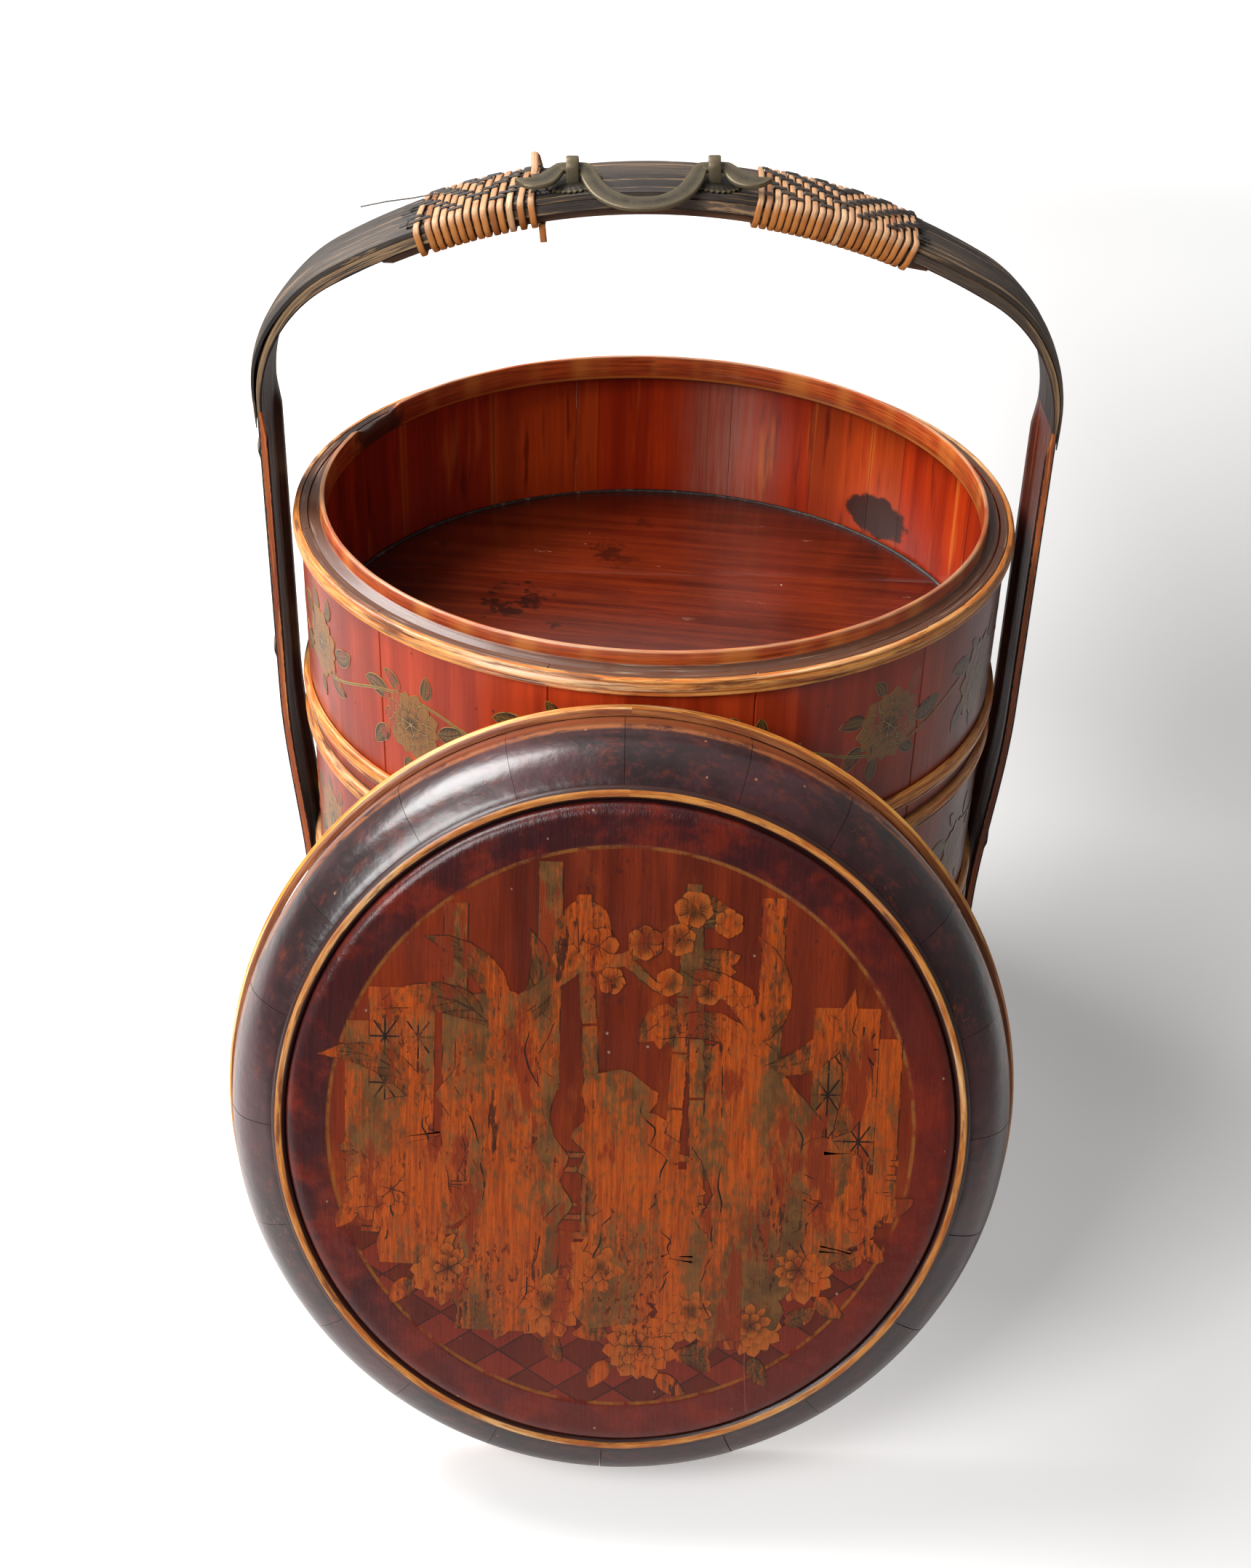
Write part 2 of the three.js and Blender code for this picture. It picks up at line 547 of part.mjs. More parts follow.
// One unbroken cane wound round the strip, the culm and the lath.
function winding(name, { turns, from, to, width, stub }) {
  const under = STRIP_T + GAP + BAMBOO_T + GAP + LATH_T; // depth of the bundle
  const off = GAP + 0.1 + CANE_T / 2;
  const [w, lw] = [BAMBOO_W / 2 + off, LATH_W / 2 + 1.2];
  const edge = (BAMBOO_W / 2) ** 2 / (2 * ARCH_SWELL); // the edges lie this much lower
  const loop = [
    [-0.5 * w, -off], [0.5 * w, -off], [w - 1.2, edge - off], [w, edge + 1.6], [w, under - LATH_T + 0.4],
    [lw, under + off], [0, under + off], [-lw, under + off],
    [-w, under - LATH_T + 0.4], [-w, edge + 1.6], [1.2 - w, edge - off],
  ];
  const n = loop.length;
  const start = Math.floor(n / 2); // on the lath
  const s0 = ARCH_R * Math.asin(from / ARCH_R) + width / 2;
  const s1 = ARCH_R * Math.asin(to / ARCH_R) - width / 2;
  const count = Math.round(turns) * n;
  const path = [];
  const outward = [];
  for (let i = 0; i <= count; i++) {
    const [y, deep] = loop[(start + i) % n];
    const s = THREE.MathUtils.lerp(s0, s1, i / count);
    const p = onArch(s, deep);
    path.push(new THREE.Vector3(p.x, y, p.z));
    const [[ya, da], [yb, db]] = [loop[(start + i + n - 1) % n], loop[(start + i + 1) % n]];
    const [ny, nd] = [-(db - da), yb - ya]; // right of the way round is outside
    outward.push(new THREE.Vector3(-p.nx * nd, -ny, -p.nz * nd).normalize());
  }
  if (stub) {
    for (const f of [0.35, 1]) {
      path.push(path[count].clone().add(new THREE.Vector3(0.6 * f, 0, -stub * f)));
      outward.push(new THREE.Vector3(0, -1, 0));
    }
  }
  const rings = path.map((p, i) => {
    const t = path[Math.min(i + 1, path.length - 1)].clone().sub(path[Math.max(i - 1, 0)]).normalize();
    const side = new THREE.Vector3().crossVectors(t, outward[i]).normalize();
    const out = new THREE.Vector3().crossVectors(side, t).normalize();
    const [across, up] = [side.multiplyScalar(width / 2), out.multiplyScalar(CANE_T / 2)];
    return [[-1, -1], [1, -1], [1, 1], [-1, 1]].map(([a, b]) =>
      p.clone().addScaledVector(across, a).addScaledVector(up, b));
  });
  let least = Infinity;
  for (let i = 0; i + n <= count; i++) {
    for (const j of [n - 1, n, n + 1].filter((k) => i + k <= count)) {
      least = Math.min(least, path[i].distanceTo(path[i + j]) - width);
    }
  }
  console.log(`${name}: least gap between turns ${least.toFixed(2)} mm`);
  return loft(rings);
}

// Peg through a leg, its end on the lowest tier's wall.
function peg(side, radius, from, to) {
  const g = new THREE.CylinderGeometry(radius, radius, to - from, 12);
  g.rotateZ(Math.PI / 2);
  g.translate(side * ((from + to) / 2), 0, PEG_UP);
  return closed(g);
}

const pegOut = footX - STRIP_END_T - GAP + PEG_HEAD;
const cuts = [...slots(-1), ...slots(1)];
const bores = [-1, 1].map((side) => peg(side, PEG_R + GAP, WALL_R + GAP, pegOut + BAMBOO_T));
add(part, 'handle_culm', cut(bamboo(), [...cuts, ...bores]), BLACK);
const strip = lath(mirrored(archLine), STRIP_W, (s, y) => (y * y) / (2 * swell(s)), stripT);
add(part, 'handle_strip', cut(strip, cuts), BLACK);
const onTop = (x) => ARCH_R * Math.asin(x / ARCH_R);
const lathLine = span(-onTop(LATH_LEFT), onTop(LATH_RIGHT), 18);
const lathTop = STRIP_T + GAP + BAMBOO_T + GAP;
add(part, 'grip_lath', lath(lathLine, LATH_W, () => lathTop, () => LATH_T), BAMBOO);
add(part, 'peg_left', peg(-1, PEG_R, WALL_R + GAP, pegOut), BAMBOO);
add(part, 'peg_right', peg(1, PEG_R, WALL_R + GAP, pegOut), BAMBOO);
add(part, 'cane_left', winding('cane_left', CANE_LEFT), CANE);
add(part, 'cane_right', winding('cane_right', CANE_RIGHT), CANE);
add(part, 'eye_left', eye(-1), IRON);
add(part, 'eye_right', eye(1), IRON);
add(part, 'plate_left', cut(plate(-1), slots(-1)), IRON);
add(part, 'plate_right', cut(plate(1), slots(1)), IRON);
add(part, 'bail', bail(), IRON);

// The origin is the middle of the whole group's footprint, on the floor.
part.updateMatrixWorld(true);
const box = new THREE.Box3().setFromObject(part, true);
part.position.y = -(box.min.y + box.max.y) / 2;

export default part;
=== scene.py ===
"""Looks of a round lacquered food carrier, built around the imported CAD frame.

Three coopered tiers with split-bamboo hoops stand under a bent bamboo arch. The grip has two cane windings
and a forged bail. The domed lid is off and leans in front. Metres, +Z up, front towards -Y.
"""
import json
import logging
import random
from dataclasses import dataclass
from enum import Enum
from math import asin, atan2, copysign, cos, exp, floor, hypot, pi, radians, sin, sqrt
from typing import Callable, Iterable, Sequence

import bpy
from mathutils import Euler, Matrix, Vector


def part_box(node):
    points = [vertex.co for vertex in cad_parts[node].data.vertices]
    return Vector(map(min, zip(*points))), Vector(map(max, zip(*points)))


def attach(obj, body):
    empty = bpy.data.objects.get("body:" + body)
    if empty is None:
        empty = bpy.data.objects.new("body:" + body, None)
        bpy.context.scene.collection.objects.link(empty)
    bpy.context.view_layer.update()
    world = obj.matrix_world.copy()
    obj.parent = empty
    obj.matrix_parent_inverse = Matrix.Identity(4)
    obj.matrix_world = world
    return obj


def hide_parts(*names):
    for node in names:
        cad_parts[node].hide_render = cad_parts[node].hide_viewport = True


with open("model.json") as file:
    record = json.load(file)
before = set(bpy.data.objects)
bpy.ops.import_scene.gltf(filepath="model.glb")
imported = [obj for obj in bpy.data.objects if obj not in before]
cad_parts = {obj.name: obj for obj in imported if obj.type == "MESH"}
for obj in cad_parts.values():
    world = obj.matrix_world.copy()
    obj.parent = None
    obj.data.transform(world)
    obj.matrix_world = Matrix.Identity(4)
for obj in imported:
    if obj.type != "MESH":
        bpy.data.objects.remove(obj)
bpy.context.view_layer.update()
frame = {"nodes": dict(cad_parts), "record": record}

LOG = logging.getLogger("carrier")
TAU = 2 * pi
MM = 0.001
MERGE = 1e-6  # corners closer than this are one
Colour = tuple[float, float, float, float]
Point = tuple[float, float]
Material = bpy.types.Material
Piece = bpy.types.Object
Tree = bpy.types.NodeTree


def tint(code: str) -> Colour:
    """Turns an sRGB colour of six hex digits into a linear one.

    Args:
        code: six hex digits, red first.

    Returns:
        Linear red, green, blue and full alpha.
    """
    parts = [int(code[i:i + 2], 16) / 255 for i in (0, 2, 4)]
    line = [c / 12.92 if c <= 0.04045 else ((c + 0.055) / 1.055) ** 2.4 for c in parts]
    return (line[0], line[1], line[2], 1.0)


def lerp(a: float, b: float, t: float) -> float:
    """Value between a and b."""
    return a + (b - a) * t


def clamp(v: float) -> float:
    """Value held between 0 and 1."""
    return max(0.0, min(1.0, v))


def steps(first: float, last: float, count: int) -> list[float]:
    """Evenly spaced values, both ends included."""
    return [lerp(first, last, i / count) for i in range(count + 1)]


def polar(radius: float, turn: float, height: float, axis_y: float = 0.0) -> Vector:
    """A point about an upright axis."""
    return Vector((radius * cos(turn), axis_y + radius * sin(turn), height))


class Body(str, Enum):
    """Bodies of the frame that pieces ride on."""

    CARRIER = "carrier"
    MIDDLE = "middle_tier"
    UPPER = "upper_tier"
    LID = "lid"
    BAIL = "bail_loop"


class Slot(str, Enum):
    """Material slots of the record."""

    RED = "red_lacquer"
    INNER = "inner_lacquer"
    DARK = "dark_lacquer"
    HOOP = "bamboo_hoop"
    BLACK = "black_bamboo"
    CANE = "cane"
    METAL = "forged_metal"


class Bench:
    """Modelling steps on Blender's own operators."""

    @staticmethod
    def clear() -> None:
        """Deselects everything."""
        bpy.ops.object.select_all(action="DESELECT")

    @staticmethod
    def close(obj: Piece, name: str, caps: bool, smooth: float) -> Piece:
        """Merges doubles, fills open ends, turns faces outward and smooths.

        Args:
            obj: the active mesh object.
            name: its name from here on.
            caps: whether open ends are filled.
            smooth: edges sharper than this many degrees stay sharp.

        Returns:
            The same object.
        """
        obj.name = obj.data.name = name
        bpy.ops.object.mode_set(mode="EDIT")
        bpy.ops.mesh.select_all(action="SELECT")
        bpy.ops.mesh.remove_doubles(threshold=MERGE)
        if caps:
            bpy.ops.mesh.select_all(action="DESELECT")
            bpy.ops.mesh.select_non_manifold()
            bpy.ops.mesh.fill_holes(sides=0)
        bpy.ops.mesh.select_all(action="SELECT")
        bpy.ops.mesh.normals_make_consistent(inside=False)
        bpy.ops.object.mode_set(mode="OBJECT")
        bpy.ops.object.shade_smooth_by_angle(angle=radians(smooth))
        return obj

    @staticmethod
    def turn(name: str, outline: Sequence[Point], turns: int, smooth: float) -> Piece:
        """Spins a closed outline once round Z.

        Args:
            name: name of the ring.
            outline: corners of radius and height, in order.
            turns: steps of the spin.
            smooth: edges sharper than this many degrees stay sharp.

        Returns:
            The ring, about the origin.
        """
        Bench.clear()
        bpy.ops.mesh.primitive_circle_add(vertices=len(outline), radius=MM)
        obj = bpy.context.object
        obj.data.vertices.foreach_set("co", [c for r, h in outline for c in (r, 0.0, h)])
        bpy.ops.object.mode_set(mode="EDIT")
        bpy.ops.mesh.select_all(action="SELECT")
        bpy.ops.mesh.spin(steps=turns, angle=TAU, center=(0, 0, 0), axis=(0, 0, 1))
        bpy.ops.object.mode_set(mode="OBJECT")
        return Bench.close(obj, name, False, smooth)

    @staticmethod
    def loft(name: str, rows: Sequence[Sequence[Vector]], grain: Sequence[Sequence[Vector]] | None = None,
             closed: bool = True, smooth: float = 35.0) -> Piece:
        """Lays a grid primitive through rows of points.

        Args:
            name: name of the piece.
            rows: rows of equal length, along the piece.
            grain: the same points on the straightened piece, kept as the attribute "grain".
            closed: whether a row's last point joins its first, and the open ends are filled.
            smooth: edges sharper than this many degrees stay sharp.

        Returns:
            The piece.
        """
        def spread(table: Sequence[Sequence[Vector]]) -> list[float]:
            """All coordinates in a row."""
            full = [list(row) + [row[0]] if closed else list(row) for row in table]
            return [c for row in full for p in row for c in p]

        Bench.clear()
        across = len(rows[0]) - (0 if closed else 1)
        bpy.ops.mesh.primitive_grid_add(x_subdivisions=across, y_subdivisions=len(rows) - 1)
        obj = bpy.context.object
        obj.data.vertices.foreach_set("co", spread(rows))
        if grain is not None:
            layer = obj.data.attributes.new("grain", "FLOAT_VECTOR", "POINT")
            layer.data.foreach_set("vector", spread(grain))
        obj.data.update()
        return Bench.close(obj, name, closed, smooth)

    @staticmethod
    def shape(obj: Piece, move: Callable[[Vector], Vector]) -> None:
        """Moves every corner of a mesh by a rule.

        Args:
            obj: the mesh object.
            move: gives a corner's new place for its old one.
        """
        for v in obj.data.vertices:
            v.co = move(v.co)
        obj.data.update()

    @staticmethod
    def modify(obj: Piece, kind: str, **settings: object) -> None:
        """Adds one modifier and applies it.

        Args:
            obj: the object.
            kind: the modifier's type.
            **settings: its properties.
        """
        Bench.clear()
        obj.select_set(True)
        bpy.context.view_layer.objects.active = obj
        mod = obj.modifiers.new(kind.lower(), kind)
        for key, value in settings.items():
            setattr(mod, key, value)
        bpy.ops.object.modifier_apply(modifier=mod.name)

    @staticmethod
    def join(name: str, objects: Sequence[Piece]) -> Piece:
        """Joins several objects into the first.

        Args:
            name: name of the whole.
            objects: the objects.

        Returns:
            The whole.
        """
        Bench.clear()
        for obj in objects:
            obj.select_set(True)
        bpy.context.view_layer.objects.active = objects[0]
        if len(objects) > 1:
            bpy.ops.object.join()
        objects[0].name = objects[0].data.name = name
        return objects[0]

    @staticmethod
    def copy(obj: Piece, place: Matrix) -> Piece:
        """Copies an object and its mesh.

        Args:
            obj: the object.
            place: moves the copy.

        Returns:
            The copy.
        """
        twin = obj.copy()
        twin.data = obj.data.copy()
        twin.data.transform(place)
        bpy.context.collection.objects.link(twin)
        return twin


def settle(obj: Piece, body: Body, slot: Slot, materials: Sequence[Material],
           nodes: Iterable[str] = ()) -> None:
    """Dresses a finished piece and ties it to the frame.

    Args:
        obj: the piece, in place.
        body: the body that it rides on.
        slot: the record's material slot; not used.
        materials: its materials, in the order of its faces' indices.
        nodes: CAD nodes that it stands for.
    """
    for material in materials:
        obj.data.materials.append(material)
    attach(obj, body.value)
    names = list(nodes)
    if names:
        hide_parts(*names)
    LOG.info("%s rides on %s for %d nodes", obj.name, body.value, len(names))


@dataclass(frozen=True)
class Field:
    """A value that a node gives; arithmetic on it adds Math nodes."""

    graph: "Graph"
    socket: bpy.types.NodeSocket

    def __add__(self, other: object) -> "Field":
        """The sum."""
        return self.graph.math("ADD", self, other)

    def __radd__(self, other: float) -> "Field":
        """The sum with a number in front."""
        return self.graph.math("ADD", other, self)

    def __sub__(self, other: object) -> "Field":
        """The difference."""
        return self.graph.math("SUBTRACT", self, other)

    def __rsub__(self, other: float) -> "Field":
        """The difference from a number."""
        return self.graph.math("SUBTRACT", other, self)

    def __mul__(self, other: object) -> "Field":
        """The product."""
        return self.graph.math("MULTIPLY", self, other)

    def __truediv__(self, other: object) -> "Field":
        """The quotient."""
        return self.graph.math("DIVIDE", self, other)

    def __abs__(self) -> "Field":
        """The value without its sign."""
        return self.graph.math("ABSOLUTE", self)


class Graph:
    """Short forms for placing and joining nodes in one tree."""

    def __init__(self, tree: Tree) -> None:
        """Works on one node tree."""
        self.tree = tree

    def feed(self, node: bpy.types.Node, feeds: dict) -> None:
        """Feeds a node's inputs, given by name or number, with values or fields."""
        for key, value in feeds.items():
            if isinstance(value, Field):
                self.tree.links.new(value.socket, node.inputs[key])
            else:
                node.inputs[key].default_value = value

    def put(self, kind: str, feeds: dict, out: int | str = 0, **settings: object) -> Field:
        """Adds a node and feeds its inputs.

        Args:
            kind: the node's type without its ShaderNode prefix.
            feeds: inputs by name or number, each a value or a field.
            out: the output that is wanted.
            **settings: the node's own properties.

        Returns:
            The wanted output.
        """
        node = self.tree.nodes.new("ShaderNode" + kind)
        for key, value in settings.items():
            setattr(node, key, value)
        self.feed(node, feeds)
        return Field(self, node.outputs[out])

    def every(self, kind: str, feeds: dict, **settings: object) -> list[Field]:
        """Adds a node as put does, and gives all its outputs."""
        node = self.put(kind, feeds, **settings).socket.node
        return [Field(self, out) for out in node.outputs]

    def split(self, vector: Field) -> list[Field]:
        """The three parts of a vector."""
        return self.every("SeparateXYZ", {0: vector})

    def math(self, rule: str, a: object, b: object = 0.0) -> Field:
        """A Math node."""
        return self.put("Math", {0: a, 1: b}, operation=rule)

    def mix(self, amount: object, a: object, b: object) -> Field:
        """A colour Mix node."""
        return self.put("Mix", {0: amount, 6: a, 7: b}, 2, data_type="RGBA")

    def band(self, value: Field, low: object, high: object) -> Field:
        """Goes smoothly from 0 at low to 1 at high."""
        return self.put("MapRange", {0: value, 1: low, 2: high}, interpolation_type="SMOOTHSTEP")

    def scaled(self, vector: Field, scale: Sequence[float]) -> Field:
        """A vector stretched along its axes."""
        return self.put("VectorMath", {0: vector, 1: scale}, operation="MULTIPLY")

    def noise(self, vector: Field, scale: object, detail: float = 3.0, rough: float = 0.55,
              bent: float = 0.0) -> Field:
        """Soft noise between 0 and 1."""
        feeds = {"Vector": vector, "Scale": scale, "Detail": detail, "Roughness": rough, "Distortion": bent}
        return self.put("TexNoise", feeds)

    def pick(self, value: Field) -> Field:
        """A chance value for each whole number."""
        return self.put("TexWhiteNoise", {"W": self.math("FLOOR", value)}, noise_dimensions="1D")


class Effects:
    """Shader node groups that several finishes share."""

    def __init__(self) -> None:
        """Builds each group once."""
        self.place = self._place()
        self.grain = self._grain()
        self.rub = self._rub()
        self.specks = self._specks()
        self.scratches = self._scratches()

    @staticmethod
    def _new(name: str, outputs: Sequence[str], **inputs: float) -> tuple[Graph, list[Field]]:
        """Starts a group whose first input is a vector.

        Args:
            name: the group's name.
            outputs: names of its results; "Unrolled" is a vector.
            **inputs: default value of each further input.

        Returns:
            The group's graph and its inputs.
        """
        tree = bpy.data.node_groups.new(name, "ShaderNodeTree")
        tree.interface.new_socket("Vector", in_out="INPUT", socket_type="NodeSocketVector")
        for key, value in inputs.items():
            socket = tree.interface.new_socket(key, in_out="INPUT", socket_type="NodeSocketFloat")
            socket.default_value = value
        for key in outputs:
            kind = "NodeSocketVector" if key == "Unrolled" else "NodeSocketFloat"
            tree.interface.new_socket(key, in_out="OUTPUT", socket_type=kind)
        g, given = Graph(tree), tree.nodes.new("NodeGroupInput")
        return g, [Field(g, given.outputs[key]) for key in ("Vector", *inputs)]

    @staticmethod
    def _out(g: Graph, **feeds: Field) -> Tree:
        """Joins a group's results to its output node."""
        g.feed(g.tree.nodes.new("NodeGroupOutput"), feeds)
        return g.tree

    def _place(self) -> Tree:
        """Radius, turn and height about Z; turn is 0 at the front and jumps at the back.

        Returns:
            The group.
        """
        g, (vector,) = self._new("Round place", ("Radius", "Turn", "Height", "Unrolled"))
        x, y, z = g.split(vector)
        radius, turn = g.math("SQRT", x * x + y * y), g.math("ARCTAN2", x, y * -1.0)
        unrolled = g.put("CombineXYZ", {0: turn, 1: z, 2: radius})
        return self._out(g, Radius=radius, Turn=turn, Height=z, Unrolled=unrolled)

    def _grain(self) -> Tree:
        """Wood grain in a space that the material has already stretched along the fibres.

        Returns:
            The group.
        """
        g, (vector, scale) = self._new("Wood grain", ("Streak", "Fibre"), Scale=60.0)
        broad, fine = g.noise(vector, scale, 4.0, 0.6, 0.4), g.noise(vector, scale * 6.0, 3.0, 0.7)
        return self._out(g, Streak=g.band(broad, 0.32, 0.68), Fibre=g.band(fine, 0.3, 0.7))

    def _rub(self) -> Tree:
        """Patches where a finish is rubbed through.

        Returns:
            The group.
        """
        g, given = self._new("Rubbed patches", ("Mask",), Scale=30.0, Level=0.6, Soft=0.08)
        vector, scale, level, soft = given
        return self._out(g, Mask=g.band(g.noise(vector, scale, 6.0, 0.68), level - soft, level + soft))

    def _specks(self) -> Tree:
        """Small dents, dust and worm holes.

        Returns:
            The group.
        """
        g, (vector, scale, size, share) = self._new("Specks", ("Mask",), Scale=200.0, Size=0.16, Share=0.5)
        far, cell, *_ = g.every("TexVoronoi", {"Vector": vector, "Scale": scale})
        chosen = g.math("LESS_THAN", g.split(cell)[0], share)
        return self._out(g, Mask=g.band(far, size, size * 0.5) * chosen)

    def _scratches(self) -> Tree:
        """Thin long marks along the stretched direction of the given space.

        Returns:
            The group.
        """
        g, (vector, scale, share) = self._new("Scratches", ("Mask",), Scale=40.0, Share=0.62)
        thin = g.band(abs(g.noise(vector, scale, 2.0, 0.5) - 0.5), 0.014, 0.004)
        where = g.noise(vector, scale * 0.22, 2.0, 0.5)
        return self._out(g, Mask=thin * g.put("MapRange", {0: where, 1: share, 2: share + 0.06}))


@dataclass(frozen=True)
class Place:
    """Where a point lies about an axis, with turn 0 at the front."""

    radius: Field
    turn: Field
    height: Field
    unrolled: Field


class Shading:
    """One material in the making: its graph, its coordinates, its shader and the colour so far."""

    def __init__(self, name: str, effects: Effects, origin: Vector | None, tilt: Euler | None) -> None:
        """Starts a material.

        Args:
            name: the material's name.
            effects: the shared groups.
            origin: where the piece's own axes start.
            tilt: how the piece's own axes are turned.
        """
        self.material = bpy.data.materials.new(name)
        self.material.use_nodes = True
        self.g, self.fx = Graph(self.material.node_tree), effects
        self.shader = self.material.node_tree.nodes["Principled BSDF"]
        self.colour: Field | None = None
        self.at = self.g.put("TexCoord", {}, "Object")
        if origin is not None:
            feeds = {"Vector": self.at, "Location": tuple(origin), "Rotation": tuple(tilt or (0.0, 0.0, 0.0))}
            self.at = self.g.put("Mapping", feeds, vector_type="TEXTURE")

    def lay(self, colour: object, amount: object) -> None:
        """Lays a colour over what is there, as far as amount says."""
        self.colour = self.g.mix(amount, self.colour, colour)

    def place(self) -> Place:
        """Where a point lies about the piece's axis."""
        return Place(*self.g.every("Group", {"Vector": self.at}, node_tree=self.fx.place))

    def run(self) -> Field:
        """The piece's own straightened coordinates."""
        return self.g.put("Attribute", {}, "Vector", attribute_name="grain")

    def _group(self, tree: Tree, out: str, **feeds: object) -> Field:
        """One output of a shared group, fed by the given inputs."""
        return self.g.put("Group", feeds, out, node_tree=tree)

    def streak(self, vector: Field, scale: float) -> Field:
        """Broad streaks of wood grain."""
        return self._group(self.fx.grain, "Streak", Vector=vector, Scale=scale)

    def fibre(self, vector: Field, scale: float) -> Field:
        """Fine fibres of wood grain."""
        return self._group(self.fx.grain, "Fibre", Vector=vector, Scale=scale)

    def rub(self, vector: Field, scale: float, level: float, soft: float) -> Field:
        """Patches where noise passes a level."""
        return self._group(self.fx.rub, "Mask", Vector=vector, Scale=scale, Level=level, Soft=soft)

    def specks(self, scale: float, size: float, share: float) -> Field:
        """Dots in a share of the cells."""
        return self._group(self.fx.specks, "Mask", Vector=self.at, Scale=scale, Size=size, Share=share)

    def scratches(self, vector: Field, scale: float, share: float) -> Field:
        """Thin marks where noise passes share."""
        return self._group(self.fx.scratches, "Mask", Vector=vector, Scale=scale, Share=share)

    def set(self, **values: float) -> None:
        """Sets plain values on the shader; an underscore stands for a space."""
        self.g.feed(self.shader, {key.replace("_", " "): value for key, value in values.items()})

    def finish(self, rough: Field, height: Field, depth: float) -> None:
        """Joins the results to the shader.

        Args:
            rough: roughness.
            height: bump height between 0 and 1.
            depth: what a height of 1 stands for.
        """
        normal = self.g.put("Bump", {"Strength": 1.0, "Distance": depth, "Height": height})
        self.g.feed(self.shader, {"Base Color": self.colour, "Roughness": rough, "Normal": normal})


class Finish:
    """Base of the finishes: each lays its colours on a material that is started for it."""

    def make(self, name: str, fx: Effects, origin: Vector | None = None,
             tilt: Euler | None = None) -> Material:
        """Builds the material.

        Args:
            name: the material's name.
            fx: the shared groups.
            origin: where the piece's own axes start.
            tilt: how the piece's own axes are turned.

        Returns:
            The material.
        """
        s = Shading(name, fx, origin, tilt)
        self.paint(s)
        return s.material

    def paint(self, s: Shading) -> None:
        """Lays the colours on the material in the making."""
        raise NotImplementedError


@dataclass(frozen=True)
class WallLacquer(Finish):
    """Red lacquer on the outside of the staves, with painted shade turning it dark brown towards the right
    side and, more lightly, towards the far left.
    """

    red: Colour = tint("c4431a")
    deep: Colour = tint("8a240a")
    painted_shade: Colour = tint("4a2c20")
    bare: Colour = tint("b8622c")
    side: float = 1.05  # turn where the painted shade on the right side begins

    def paint(self, s: Shading) -> None:
        """Lays the colours about the tiers' axis.

        Args:
            s: the material in the making.
        """
        g = s.g
        tall = g.scaled(s.at, (1.0, 1.0, 0.05))
        streak = s.streak(tall, 46.0)
        fibre = s.fibre(tall, 90.0)
        place = s.place()
        cloud = g.noise(s.at, 9.0, 5.0, 0.6)
        s.colour = g.mix(streak, self.deep, self.red)
        s.lay(self.deep, fibre * 0.22)
        # painted shade: dark brown laid over the right side of the wall by turn
        turned = place.turn + (cloud - 0.5) * 1.4
        shaded_side = g.band(turned, self.side - 0.75, self.side + 0.25) * g.band(turned, 2.8, 1.9)
        s.lay(self.painted_shade, shaded_side * 0.86)
        # painted shade, lighter, over the far left of the wall
        left = g.band(turned, -0.7, -1.25) * g.band(turned, -2.7, -2.0)
        s.lay(self.painted_shade, left * 0.5)
        bare = s.rub(tall, 26.0, 0.66, 0.05)
        s.lay(self.bare, bare * 0.6)
        dents = s.specks(120.0, 0.14, 0.2)
        s.lay(tint("2a100a"), dents * 0.6)
        rough = 0.24 + g.noise(s.at, 40.0, 4.0) * 0.22
        high = fibre * 0.35 - dents * 0.8
        s.set(Coat_Weight=0.1, Coat_Roughness=0.12, Specular_IOR_Level=0.22)
        s.finish(rough, high, 0.12 * MM)


